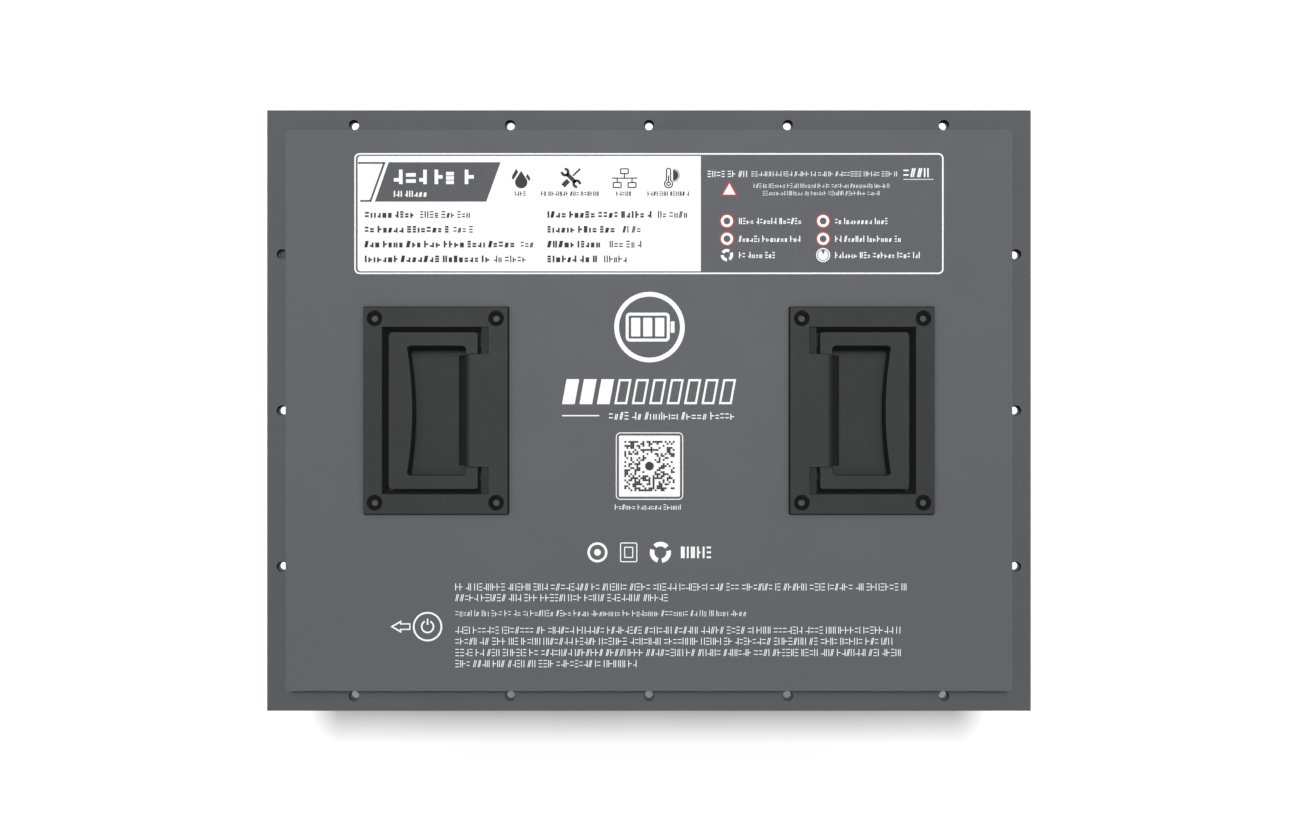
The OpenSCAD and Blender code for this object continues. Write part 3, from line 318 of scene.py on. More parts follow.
def cad_materials():
    """The record's material slots, each as a procedural material."""
    along_z = (1, 1, 0.06)
    return {
        # Painted shade: the case paint is darker in the gaps and below the lid's step.
        "case_paint": powder_coat("case powder coat", CASE_GREY, reach=4 * MM, dark=0.3,
                                  low_shade=0.87),
        # Painted shade in the handle frames' gaps, on their walls and in the height bands, with a faint
        # painted glow in the gaps.
        "handle_paint": powder_coat("handle powder coat", HANDLE_GREY, wall_shade=0.4, painted_glow=0.011,
                                    dull=HANDLE_SHADE_BANDS, **HANDLE_COAT),
        # Painted shade in the grips' gaps and on their walls, with a faint painted glow in the gaps.
        "grip_paint": powder_coat("grip powder coat", HANDLE_GREY, wall_shade=0.3, painted_glow=0.008,
                                  **HANDLE_COAT),
        "zinc_steel": plated("zinc plated steel", (0.62, 0.62, 0.6), 0.34),
        "black_steel": black_oxide("black oxide steel"),
        "spring_steel": plated("oiled spring wire", (0.05, 0.05, 0.052), 0.45),
        "seal_rubber": moulded("seal rubber", (0.01, 0.01, 0.01), 0.8, shine=0.05),
        "label_film": ink("label film", CASE_GREY, 0.6),
        "cell_aluminium": plated("drawn aluminium", (0.75, 0.76, 0.77), 0.32, along_z),
        "electrode_roll": foam("wound electrodes", (0.03, 0.03, 0.03)),
        "copper": plated("copper", (0.72, 0.33, 0.18), 0.3),
        "blue_film": moulded("blue cell film", (0.02, 0.09, 0.3), 0.25, glossy=0.5),
        "insulator": moulded("moulded insulator", (0.015, 0.015, 0.016)),
        "board_sheet": moulded("glass-epoxy sheet", (0.5, 0.46, 0.33), 0.5),
        "foam": foam("closed-cell foam", (0.035, 0.035, 0.037)),
        "circuit_board": circuit_board("circuit board"),
        "fuse_ceramic": moulded("fuse ceramic", (0.6, 0.56, 0.45), 0.35),
        "red_plastic": moulded("red plastic", (0.42, 0.022, 0.016), 0.36, glossy=0.15),
        "black_plastic": moulded("black plastic", (0.016, 0.016, 0.017), 0.42),
        "red_cable": moulded("red cable sheath", (0.45, 0.02, 0.015), 0.5),
        "black_cable": moulded("black cable sheath", (0.013, 0.013, 0.013), 0.5),
        "wire_bundle": moulded("wire bundle", (0.5, 0.33, 0.03), 0.5),
        "brass": plated("brass", (0.72, 0.52, 0.22), 0.26),
        "stainless": plated("stainless steel", (0.55, 0.55, 0.56), 0.27),
        "clear_light": light_guide("light guide"),
        "cap_rubber": moulded("cap rubber", (0.014, 0.014, 0.014), 0.62),
    }


# How wide each node's rounded edges are, in millimetres.
SOFT_EDGES = {
    "case_tub": 0.8, "lid": 0.6, "lid_seal": 0.3, "lid_nuts": 0.25, "lid_studs": 0.3,
    "rating_label": 0.05,
    "left_handle_housing": 0.35, "right_handle_housing": 0.35,
    "left_handle_bail": 0.8, "right_handle_bail": 0.8,
    "handle_screws": 0.12, "handle_seals": 0.2,
    "positive_terminal_block": 0.5, "negative_terminal_block": 0.5,
    "positive_terminal_cap": 0.5, "negative_terminal_cap": 0.5,
    "terminal_screws": 0.15, "terminal_cap_pins": 0.2,
    "switch_body": 0.3, "switch_button": 0.3, "switch_light_ring": 0.15,
    "port_shells": 0.25, "comm_port_cap": 0.35, "display_port_cap": 0.35, "vent_valve": 0.3,
}
SMALLEST_STEP = 0.02 * MM      # corners closer than this are joined, so they can't spoil the soft edges


def soften(obj, width):
    """Joins the split corners of an imported mesh and rounds its sharp edges."""
    obj.data.polygons.foreach_set("use_smooth", [True] * len(obj.data.polygons))
    weld = obj.modifiers.new("weld", "WELD")
    weld.merge_threshold = SMALLEST_STEP
    bevel = obj.modifiers.new("soft edges", "BEVEL")
    bevel.width = width * MM
    bevel.segments = 2
    bevel.limit_method = "ANGLE"
    bevel.angle_limit = math.radians(35)
    bevel.use_clamp_overlap = True
    normals = obj.modifiers.new("even normals", "WEIGHTED_NORMAL")
    normals.keep_sharp = False


def dress_cad_nodes(materials):
    slots = {part["node"]: part["material_slot"] for part in RECORD["subparts"]}
    slots["handle_pins"] = "spring_steel"
    slots["left_handle_bail"] = slots["right_handle_bail"] = "grip_paint"
    for name, obj in NODES.items():
        obj.data.materials.clear()
        obj.data.materials.append(materials[slots[name]])
        if name in SOFT_EDGES:
            soften(obj, SOFT_EDGES[name])


def brighten_screw_sockets():
    """The driver has rubbed the black finish off the bottom of each handle screw's socket."""
    screws = NODES["handle_screws"]
    screws.data.materials.append(moulded("rubbed socket", (0.062, 0.064, 0.062), 0.6, shine=0.1))
    head_depth, looks_up = 1.2 * MM, 0.9
    socket_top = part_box("handle_screws")[1].z - head_depth
    for face in screws.data.polygons:
        inside = face.normal.z > looks_up and face.center.z < socket_top
        face.material_index = 1 if inside else 0


# ---------------------------------------------------------------- flat printed shapes

INK_ROOT = 0.02 * MM           # how far a printed shape reaches into the face below it


class Print:
    """Thin raised shapes of one ink, gathered into one closed mesh that rides on the case."""

    def __init__(self, name, material, base, thick=0.04, upright=False):
        """Base is the printed face's height, or, if upright, the left wall's distance from the middle."""
        self.name, self.material, self.upright = name, material, upright
        self.low, self.high = base - INK_ROOT, base + thick * MM
        self.mesh = bmesh.new()

    def corner(self, x, y, height):
        place = (-height, -x * MM, y * MM) if self.upright else (x * MM, y * MM, height)
        return self.mesh.verts.new(place)

    def shape(self, outline):
        """A filled shape: outline is a list of (x, y) in millimetres, anticlockwise."""
        floor = [self.corner(x, y, self.low) for x, y in outline]
        top = [self.corner(x, y, self.high) for x, y in outline]
        self.mesh.faces.new(top)
        self.mesh.faces.new(reversed(floor))
        for i in range(len(outline)):
            j = (i + 1) % len(outline)
            self.mesh.faces.new((floor[i], floor[j], top[j], top[i]))

    def band(self, outer, inner):
        """A closed ribbon between two outlines that have as many points as each other."""
        rings = []
        for points, height in ((outer, self.high), (inner, self.high), (inner, self.low), (outer, self.low)):
            rings.append([self.corner(x, y, height) for x, y in points])
        count = len(outer)
        for k in range(4):
            here, there = rings[k], rings[(k + 1) % 4]
            for i in range(count):
                j = (i + 1) % count
                self.mesh.faces.new((here[i], here[j], there[j], there[i]))

    def bar(self, x, y, width, height, turn=0.0):
        """A plain rectangle centred on (x, y)."""
        self.shape(placed(rectangle(width, height), x, y, turn))

    def line(self, a, b, width):
        dx, dy = b[0] - a[0], b[1] - a[1]
        middle = ((a[0] + b[0]) / 2, (a[1] + b[1]) / 2)
        self.bar(*middle, math.hypot(dx, dy), width, math.atan2(dy, dx))

    def disc(self, x, y, radius, count=40):
        self.shape(placed(arc(radius, 0, 360, count)[:-1], x, y))

    def ring(self, x, y, radius, width, count=48):
        outer = placed(arc(radius, 0, 360, count)[:-1], x, y)
        inner = placed(arc(radius - width, 0, 360, count)[:-1], x, y)
        self.band(outer, inner)

    def open_ring(self, x, y, radius, width, start, end, count=24):
        """Part of a ring, from one angle to another, in degrees."""
        outer = arc(radius, start, end, count)
        inner = arc(radius - width, start, end, count)
        self.shape(placed(outer + inner[::-1], x, y))

    def frame(self, x, y, width, height, line, radius):
        outer = placed(rounded(width, height, radius), x, y)
        inner = placed(rounded(width - 2 * line, height - 2 * line, max(radius - line, 0.05)), x, y)
        self.band(outer, inner)

    def done(self):
        bmesh.ops.recalc_face_normals(self.mesh, faces=self.mesh.faces)
        mesh = bpy.data.meshes.new(self.name)
        self.mesh.to_mesh(mesh)
        self.mesh.free()
        obj = bpy.data.objects.new(self.name, mesh)
        bpy.context.scene.collection.objects.link(obj)
        mesh.materials.append(self.material)
        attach(obj, "case")
        return obj


def arc(radius, start, end, count):
    """Points of an arc, anticlockwise, with both ends; angles in degrees."""
    turns = [math.radians(start + (end - start) * i / count) for i in range(count + 1)]
    return [(radius * math.cos(t), radius * math.sin(t)) for t in turns]


def rectangle(width, height):
    w, h = width / 2, height / 2
    return [(-w, -h), (w, -h), (w, h), (-w, h)]


def rounded(width, height, radius, steps=6):
    """Outline of a rectangle with round corners, anticlockwise."""
    w, h = width / 2 - radius, height / 2 - radius
    points = []
    for cx, cy, start in ((w, h, 0), (-w, h, 90), (-w, -h, 180), (w, -h, 270)):
        points += placed(arc(radius, start, start + 90, steps), cx, cy)
    return points


def placed(points, x, y, turn=0.0):
    c, s = math.cos(turn), math.sin(turn)
    return [(x + px * c - py * s, y + px * s + py * c) for px, py in points]


def mock_sign(sheet, kind, x, y, wide, tall, pen):
    """One meaningless sign built from plain strokes, with its lower left corner at (x, y)."""
    if kind == "two posts":
        for px in (x + pen / 2, x + wide - pen / 2):
            sheet.bar(px, y + tall / 2, pen, tall)
    elif kind == "three dashes":
        for step in (0, 0.5, 1):
            sheet.bar(x + wide / 2, y + pen / 2 + step * (tall - pen), wide, pen)
    elif kind == "two dashes":
        for step in (0.25, 0.75):
            sheet.bar(x + wide / 2, y + step * tall, wide, pen)
    elif kind == "post and dash":
        sheet.bar(x + pen / 2, y + tall / 2, pen, tall)
        sheet.bar(x + pen + (wide - pen) / 2, y + tall / 2, wide - pen - 0.02, pen)
    elif kind == "dash and post":
        sheet.bar(x + wide - pen / 2, y + tall / 2, pen, tall)
        sheet.bar(x + (wide - pen) / 2, y + tall * 0.3, wide - pen - 0.02, pen)
    elif kind == "two slants":
        for px in (0.3, 0.7):
            sheet.bar(x + wide * px, y + tall / 2, pen, tall, -0.22)
    else:
        sheet.bar(x + wide / 2, y + tall / 2, pen, tall)


SIGNS = ("two posts", "three dashes", "two dashes", "post and dash", "dash and post", "two slants", "post")


def mock_line(sheet, left, right, middle, cap, weight, draws, low=0.74, wide=0.5):
    """A line of meaningless signs in word-like groups, as long and as high as a printed line."""
    pen = cap * weight
    space = cap * (0.1 + weight * 0.55)
    base = middle - cap / 2
    x = left
    while right - x > cap * wide:
        count = draws.randint(2, 8)
        word_start = True
        for _ in range(count):
            kind = draws.choice(SIGNS)
            width = pen if kind == "post" else cap * wide * draws.uniform(0.85, 1.15)
            if x + width > right:
                x = right
                break
            tall = cap if word_start or draws.random() < 0.3 else cap * low
            mock_sign(sheet, kind, x, base, width, tall, pen)
            word_start = False
            x += width + space
        x += cap * 0.3


# ---------------------------------------------------------------- rating label
# Places on the lid are millimetres from its centre.

LID_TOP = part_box("lid")[1].z
FILM_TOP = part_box("rating_label")[1].z
LABEL_LOW, LABEL_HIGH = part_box("rating_label")
LABEL_Y = (LABEL_LOW.y + LABEL_HIGH.y) / 2 / MM
LABEL_W = (LABEL_HIGH.x - LABEL_LOW.x) / MM
LABEL_D = (LABEL_HIGH.y - LABEL_LOW.y) / MM
PANEL_LEFT, PANEL_RIGHT = -165.1, 29.4
PANEL_HALF_D = LABEL_D / 2 - 1.6
HEADER_LOW, HEADER_HIGH = 118.4, 140.7
TITLE_Y, TITLE_CAP = 132.4, 8.2
CAPTION_Y = 122.9
PANEL_ROWS = (111.1, 102.7, 94.3, 85.9)
HEADING_Y = 134.1
MARK_ROWS = (107.4, 97.3, 88.1)
MARK_COLUMNS = (44.2, 98.7)


def label_ground(white):
    """White border line and the white panel on the label's left part."""
    sheet = Print("label_white_ground", white, FILM_TOP, 0.03)
    sheet.frame(0, LABEL_Y, LABEL_W, LABEL_D, 0.9, 3.0)
    bottom, top = LABEL_Y - PANEL_HALF_D, LABEL_Y + PANEL_HALF_D
    radius = 1.6
    left_end = placed(arc(radius, 90, 180, 6), PANEL_LEFT + radius, top - radius)
    left_end += placed(arc(radius, 180, 270, 6), PANEL_LEFT + radius, bottom + radius)
    sheet.shape([(PANEL_RIGHT, bottom), (PANEL_RIGHT, top)] + left_end)
    sheet.done()


def label_header(grey, white):
    """The slanted dark header with a white title, and the open slanted outline left of it."""
    dark = Print("label_header", grey, FILM_TOP, 0.06)
    dark.shape([(-155.3, HEADER_LOW), (-92.2, HEADER_LOW), (-84.1, HEADER_HIGH), (-147.5, HEADER_HIGH)])
    dark.line((PANEL_LEFT + 0.2, HEADER_HIGH - 0.4), (-149.6, HEADER_HIGH - 0.4), 1.0)
    dark.line((-149.9, HEADER_HIGH), (-157.9, HEADER_LOW + 0.1), 1.1)
    dark.line((-163.6, HEADER_LOW + 0.4), (-157.6, HEADER_LOW + 0.4), 1.0)
    dark.done()
    title = Print("label_title", white, FILM_TOP, 0.09)
    draws = random.Random(3)
    for left, right in ((-144.6, -108.3), (-104.4, -98.4)):
        mock_line(title, left, right, TITLE_Y, TITLE_CAP, 0.25, draws, 0.85, 0.6)
    mock_line(title, -144.6, -125.0, 122.8, 3.4, 0.22, draws)
    title.done()


def drops_icon(sheet, x, y):
    """A water drop, point up, with two smaller ones half hidden behind it."""
    sheet.shape(placed(arc(3.5, -213, 33, 24) + [(0, 6.4)], x, y))
    sheet.shape(placed([(-2.8, 7.6), (-5.0, 3.9), (-5.3, 2.4), (-4.7, 1.4), (-4.1, 1.9), (-1.7, 5.7)], x, y))
    sheet.shape(placed([(3.6, 4.7), (2.7, 3.3), (4.2, 0.9), (4.8, 0.8), (5.2, 2.2)], x, y))


def tools_icon(sheet, x, y):
    """A spanner crossed with a screwdriver."""
    def stroke(ax, ay, bx, by, width):
        sheet.line((x + ax, y + ay), (x + bx, y + by), width)
    stroke(-2.6, 2.6, 2.6, -2.6, 2.2)
    sheet.open_ring(x - 3.3, y + 3.3, 2.5, 1.5, 172, 458)
    sheet.open_ring(x + 3.3, y - 3.3, 2.5, 1.5, -8, 278)
    stroke(-4.5, -4.5, -1.4, -1.4, 2.7)
    stroke(1.1, 1.2, 3.4, 3.5, 0.9)
    sheet.shape(placed([(2.9, 3.6), (3.6, 2.9), (5.3, 4.6), (5.3, 5.4), (4.5, 5.3)], x, y))


def network_icon(sheet, x, y, pen):
    """Three boxes joined by a line."""
    sheet.frame(x, y + 3.9, 5.0, 3.4, pen, 0.6)
    sheet.line((x, y + 2.2), (x, y + pen / 2), pen)
    sheet.line((x - 7.1, y), (x + 7.3, y), pen)
    for side in (-4.1, 4.3):
        sheet.line((x + side, y - pen / 2), (x + side, y - 2.2), pen)
        sheet.frame(x + side, y - 3.9, 5.1, 3.5, pen, 0.6)


def heat_icon(sheet, x, y, pen):
    """A thermometer beside half a sun; y is the middle of its bulb."""
    sheet.open_ring(x, y, 2.6, pen, 125, 415)
    sheet.open_ring(x, y + 7.6, 1.5, pen, 0, 180)
    for side in (-1.5 + pen / 2, 1.5 - pen / 2):
        sheet.line((x + side, y + 1.7), (x + side, y + 7.6), pen)
    sheet.ring(x, y, 1.3, pen)
    sheet.line((x, y + 1.3), (x, y + 4.8), pen)
    sheet.shape(placed(arc(3.1, -90, 90, 16), x + 2.5, y + 4.8))
    sheet.open_ring(x + 2.5, y + 4.8, 3.8, 0.35, -86, 86)


def label_icons(grey):
    """Four plain pictograms with mock captions."""
    sheet = Print("label_icons", grey, FILM_TOP, 0.06)
    pen = 0.66
    drops_icon(sheet, -72.4, 129.4)
    tools_icon(sheet, -44.2, 131.8)
    network_icon(sheet, -13.9, 131.7, pen)
    heat_icon(sheet, 11.1, 128.5, pen)
    draws = random.Random(11)
    for left, right in ((-76.0, -69.8), (-61.2, -27.6), (-18.6, -9.4), (-0.8, 23.4)):
        mock_line(sheet, left, right, CAPTION_Y, 2.5, 0.2, draws, 1.0)
    sheet.done()


def label_rows(grey):
    """Two columns of mock lines on the white panel: a bold part, then a lighter part."""
    cap, word_gap = 3.8, 2.2
    sheet = Print("label_rows", grey, FILM_TOP, 0.06)
    draws = random.Random(5)
    columns = (
        (-161.0, (-131.8, -113.0, -74.9, -90.2), (-99.9, -99.2, -62.9, -69.0)),
        (-57.5, (2.9, -17.0, -24.5, -27.6), (23.6, -2.2, -2.2, -11.7)),
    )
    for left, splits, rights in columns:
        for y, split, right in zip(PANEL_ROWS, splits, rights):
            mock_line(sheet, left, split, y, cap, 0.27, draws, wide=0.56)
            mock_line(sheet, split + word_gap, right, y, cap, 0.18, draws)
    sheet.done()


def label_notes(white, red):
    """The grey part's mock lines, and plain round and three-sided marks beside them."""
    sheet = Print("label_notes", white, FILM_TOP, 0.05)
    draws = random.Random(7)
    mock_line(sheet, 33.2, 56.4, HEADING_Y, 3.5, 0.15, draws, 1.0, 0.6)
    mock_line(sheet, 57.9, 141.8, HEADING_Y, 2.8, 0.13, draws, 1.0, 0.6)
    mock_line(sheet, 144.2, 161.3, 134.8, 5.2, 0.17, draws, 1.0)
    sheet.line((144.2, 131.0), (161.3, 131.0), 0.35)
    mock_line(sheet, 59.3, 137.4, 127.4, 2.5, 0.11, draws)
    mock_line(sheet, 64.4, 131.8, 123.2, 2.5, 0.11, draws)
    for left, rights in ((51.0, (87.3, 86.2, 71.6)), (105.5, (136.4, 144.8, 154.8))):
        for y, right in zip(MARK_ROWS, rights):
            mock_line(sheet, left, right, y, 3.5, 0.17, draws, 0.6, 0.42)
    sheet.shape([(41.9, 122.3), (49.2, 122.3), (45.55, 128.9)])
    rims = Print("label_red_rims", red, FILM_TOP, 0.07)
    rims.band([(40.6, 121.6), (50.5, 121.6), (45.55, 130.4)], [(42.0, 122.4), (49.1, 122.4), (45.55, 128.7)])
    dots = Print("label_dark_dots", MATERIALS["label_film"], FILM_TOP, 0.07)
    for x in MARK_COLUMNS:
        for y in MARK_ROWS[:2]:
            sheet.disc(x, y, 4.1)
            rims.ring(x, y, 4.2, 0.75)
            dots.disc(x, y, 1.9)
    left, right = MARK_COLUMNS
    low = MARK_ROWS[2]
    for start in (60, 180, 300):
        sheet.open_ring(left, low, 3.5, 1.7, start, start + 90)
    sheet.ring(right, low, 4.0, 0.7)
    sheet.open_ring(right, low, 2.9, 2.85, 110, 430)
    sheet.done()
    rims.done()
    dots.done()


# ---------------------------------------------------------------- print on the lid


def round_mark(white):
    """A generic mark: a ring round a plain battery outline with three charge bars."""
    x, y, radius = 0.3, 47.3, 20.0
    sheet = Print("lid_round_mark", white, LID_TOP)
    sheet.ring(x, y, radius, 2.7, 72)
    sheet.frame(x - 1.0, y, 25.0, 16.4, 1.7, 2.4)
    sheet.bar(x + 13.1, y, 2.2, 6.4)
    for step in range(3):
        sheet.shape(placed(rounded(5.2, 10.6, 0.5), x - 7.8 + step * 6.8, y))
    sheet.done()


def charge_gauge(white):
    """A slanted ten-cell gauge, three cells filled, with a mock strap line below."""
    sheet = Print("lid_charge_gauge", white, LID_TOP)
    left, base = -49.3, 3.6
    wide, tall, slant, pitch, pen = 7.2, 14.2, 2.6, 9.88, 1.2
    for cell in range(10):
        x = left + cell * pitch
        outer = [(x, base), (x + wide, base), (x + wide + slant, base + tall), (x + slant, base + tall)]
        if cell < 3:
            sheet.shape(outer)
            continue
        shift = slant * pen / tall
        low, high = base + pen, base + tall - pen
        inner = [(x + pen + shift, low), (x + wide - pen + shift, low),
                 (x + wide - pen + slant - shift, high), (x + pen + slant - shift, high)]
        sheet.band(outer, inner)
    sheet.line((-49.3, -2.9), (-28.2, -2.9), 0.7)
    mock_line(sheet, -22.7, 49.5, -3.0, 4.3, 0.135, random.Random(13))
    sheet.done()


def dot_square(white, dark):
    """A square of meaningless dots in a double frame; it encodes nothing and has no corner marks."""
    x, y = 0.3, -31.5
    sheet = Print("lid_dot_square", white, LID_TOP)
    sheet.frame(x, y, 38.2, 38.2, 0.55, 2.6)
    sheet.shape(placed(rounded(34.6, 34.6, 0.6), x, y))
    mock_line(sheet, -19.3, 19.3, -54.7, 3.0, 0.13, random.Random(17))
    sheet.done()
    dots = Print("lid_dots", dark, LID_TOP, 0.07)
    draws = random.Random(23)
    count, side = 25, 28.6
    step = side / count
    for row in range(count):
        for column in range(count):
            middle = abs(row - count // 2) + abs(column - count // 2) < 6
            if middle or draws.random() > 0.5:
                continue
            px = x - side / 2 + (column + 0.5) * step
            py = y - side / 2 + (row + 0.5) * step
            dots.bar(px, py, step * 0.98, step * 0.98)
    dots.disc(x, y, 2.5)
    dots.done()


def small_marks(white):
    """Four plain shapes in place of approval marks."""
    sheet = Print("lid_small_marks", white, LID_TOP)
    y = -80.4
    sheet.ring(-29.2, y, 5.7, 1.4)
    sheet.disc(-29.2, y, 1.9)
    sheet.frame(-11.5, y, 9.8, 11.2, 0.6, 1.0)
    sheet.frame(-11.5, y, 5.2, 6.4, 0.6, 0.5)
    for start in (40, 160, 280):
        sheet.open_ring(6.5, y, 6.0, 2.6, start, start + 92)
    mock_line(sheet, 18.1, 35.6, y, 6.6, 0.16, random.Random(29), 1.0, 0.34)
    sheet.done()


def lid_notes(white):
    """The block of mock lines near the front edge."""
    sheet = Print("lid_notes", white, LID_TOP)
    draws = random.Random(31)
    left = -109.8
    capitals, small = (4.0, 1.0), (3.4, 0.74)
    rows = (
        (-100.0, 146.2, capitals), (-106.1, 13.6, capitals), (-114.9, 56.3, small), (-124.5, 144.2, capitals),
        (-130.8, 138.2, capitals), (-137.2, 145.2, capitals), (-143.5, -6.1, capitals),
    )
    for y, right, (cap, low) in rows:
        mock_line(sheet, left, right, y, cap, 0.105, draws, low)
    sheet.done()


def power_symbol(sheet, x, y, radius, width):
    """The usual broken ring with an upright stroke."""
    sheet.open_ring(x, y, radius, width, 118, 422)
    sheet.bar(x, y + radius * 0.72, width, radius * 0.9)


def switch_sign(white):
    """A ringed power symbol with an arrow towards the wall that carries the switch."""
    sheet = Print("lid_switch_sign", white, LID_TOP)
    x, y = -125.5, -122.5
    sheet.ring(x, y, 8.35, 1.0, 56)
    power_symbol(sheet, x, y, 3.8, 0.9)
    tip, neck, tail = -146.6, -140.4, -135.2
    outer = [(tip, y), (neck, y - 3.6), (neck, y - 1.9), (tail, y - 1.9), (tail, y + 1.9),
             (neck, y + 1.9), (neck, y + 3.6)]
    inner = [(tip + 1.6, y), (neck - 0.7, y - 2.1), (neck - 0.7, y - 1.2), (tail - 0.7, y - 1.2),
             (tail - 0.7, y + 1.2), (neck - 0.7, y + 1.2), (neck - 0.7, y + 2.1)]
    sheet.band(outer, inner)
    sheet.done()


def wall_signs(white):
    """Plain signs under the fittings on the left wall; x runs to the right as one faces the wall."""
    switch_rim, y = 3 * MM, 63
    sheet = Print("wall_signs", white, -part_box("switch_body")[0].x - switch_rim, upright=True)
    fittings = ("positive_terminal_cap", "negative_terminal_cap", "comm_port_cap", "display_port_cap",
                "switch_button")
    across = {}
    for name in fittings:
        low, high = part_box(name)
        across[name] = -(low.y + high.y) / 2 / MM
    for name in ("positive_terminal_cap", "negative_terminal_cap"):
        sheet.bar(across[name], y, 11, 2.4)
    for side in (-1, 1):
        sheet.bar(across["positive_terminal_cap"], y + side * 3.35, 2.4, 4.3)
    network_icon(sheet, across["comm_port_cap"], y, 0.9)
    sheet.frame(across["display_port_cap"], y + 1.0, 13, 8.6, 0.9, 1.0)
    sheet.bar(across["display_port_cap"], y - 5.4, 7.0, 1.0)
    power_symbol(sheet, across["switch_button"], y, 5.0, 1.1)
    sheet.done()


# ---------------------------------------------------------------- threads and springs


def skin(mesh, rings):
    """Joins rings of points into a closed tube."""
    for a, b in zip(rings, rings[1:]):
        for k in range(len(a)):
            n = (k + 1) % len(a)
            mesh.faces.new((a[k], a[n], b[n], b[k]))
    mesh.faces.new(reversed(rings[0]))
    mesh.faces.new(rings[-1])


def screw_thread(mesh, start, length, radius, pitch, depth):
    """A right-handed V thread along +X with chamfered, closed ends; start is the low X end."""
    around, per_turn = 40, 8
    steps = int(length / pitch * per_turn)
    rings = []
    for i in range(steps + 1):
        along = i / steps * length
        lead = min(1.0, along / (0.8 * pitch), (length - along) / (0.8 * pitch))
        ring = []
        for k in range(around):
            turn = 2 * math.pi * k / around
            phase = (along / pitch - k / around) % 1.0
            valley = abs(2 * phase - 1)
            here = radius - depth * max(valley, 1.0 - lead)
            offset = Vector((along, here * math.cos(turn), here * math.sin(turn)))
            ring.append(mesh.verts.new(start + offset))
        rings.append(ring)
    skin(mesh, rings)


def plain_rod(mesh, start, length, radius, count=48):
    """A cylinder along +X with small chamfers."""
    chamfer = 0.3 * MM
    narrow = radius - chamfer
    sections = ((0, narrow), (chamfer, radius), (length - chamfer, radius), (length, narrow))
    rings = []
    for along, r in sections:
        circle = arc(r, 0, 360, count)[:-1]
        rings.append([mesh.verts.new(start + Vector((along, y, z))) for y, z in circle])
    skin(mesh, rings)


def bent_wire(mesh, centre, path, radius, sides=10):
    """Round wire along a path whose points are measured from the spring's axis; its ends are chamfered."""
    last = len(path) - 1
    rings = []
    for i, point in enumerate(path):
        along = (path[min(i + 1, last)] - path[max(i - 1, 0)]).normalized()
        outward = Vector((point.x, 0, point.z))
        side = (outward - outward.dot(along) * along).normalized()
        up = along.cross(side)
        circle = arc(radius * 0.65 if i in (0, last) else radius, 0, 360, sides)[:-1]
        rings.append([mesh.verts.new(centre + point + c * side + s * up) for c, s in circle])
    skin(mesh, rings)


def finished(name, mesh, material, body):
    """Turns gathered faces into a smooth-shaded object that rides on a body."""
    bmesh.ops.recalc_face_normals(mesh, faces=mesh.faces)
    data = bpy.data.meshes.new(name)
    mesh.to_mesh(data)
    mesh.free()
    data.polygons.foreach_set("use_smooth", [True] * len(data.polygons))
    data.materials.append(material)
    obj = bpy.data.objects.new(name, data)
    bpy.context.scene.collection.objects.link(obj)
    obj.modifiers.new("even normals", "WEIGHTED_NORMAL")
    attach(obj, body)
    return obj


def threaded_terminal_studs(material):
    """The two power studs with a real thread on the free end, in place of the plain ones."""
    low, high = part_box("terminal_studs")
    stud_r, collar_r = 4 * MM, 9 * MM
    free, collar = 15 * MM, 3 * MM
    inner_thread = 12 * MM
    pitch, depth = 1.25 * MM, 0.68 * MM
    joint = 0.1 * MM                           # how far neighbouring lengths reach into each other
    shank = high.x - low.x - free - collar - inner_thread
    mesh = bmesh.new()
    middle_z = (low.z + high.z) / 2
    for y in (low.y + collar_r, high.y - collar_r):
        outer_end = Vector((low.x, y, middle_z))
        screw_thread(mesh, outer_end, free + 2 * joint, stud_r, pitch, depth)
        collar_start = outer_end + Vector((free, 0, 0))
        plain_rod(mesh, collar_start, collar, collar_r)
        plain_rod(mesh, collar_start + Vector((collar - joint, 0, 0)), shank + 2 * joint, stud_r)
        inner_start = Vector((high.x - inner_thread, y, middle_z))
        screw_thread(mesh, inner_start, inner_thread, stud_r, pitch, depth)
    studs = finished("threaded_terminal_studs", mesh, material, "case")
    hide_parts("terminal_studs")


def grip_springs(side, material):
    """One grip's two torsion springs: the coils stay in the housing, the outer tangs turn with the grip."""
    low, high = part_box(side + "_handle_springs")
    wire, pitch, tang = 0.4 * MM, 1.05 * MM, 2.2 * MM
    turns, per_turn = 4, 24
    stub, chamfer, joint = 0.2 * MM, 0.1 * MM, 0.05 * MM
    radius = (high.z - low.z) / 2 - wire
    centre = Vector(((low.x + high.x) / 2, 0, (low.z + high.z) / 2))
    hand = 1 if side == "left" else -1
    coils, tangs = bmesh.new(), bmesh.new()
    for outer_end, inward in ((high.y, -1), (low.y, 1)):
        def point(along, angle=-90):
            turn = math.radians(angle)
            return Vector((radius * math.cos(turn), outer_end + inward * along, radius * math.sin(turn)))
        helix = [point(tang + pitch * i / per_turn, -90 + hand * inward * 360 * i / per_turn)
                 for i in range(turns * per_turn + 1)]
        inner = tang + pitch * turns
        start = [point(tang - stub), point(tang - stub + chamfer)]
        end = [point(inner + tang - chamfer), point(inner + tang)]
        bent_wire(coils, centre, start + helix + end, wire)
        reach = tang - stub + joint
        moving = [point(0), point(chamfer), point(reach - chamfer), point(reach)]
        bent_wire(tangs, centre, moving, wire)
    still = finished(side + "_spring_coils", coils, material, "case")
    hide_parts(side + "_handle_springs")
    finished(side + "_spring_tangs", tangs, material, side + "_handle")


# ---------------------------------------------------------------- floor, light and camera

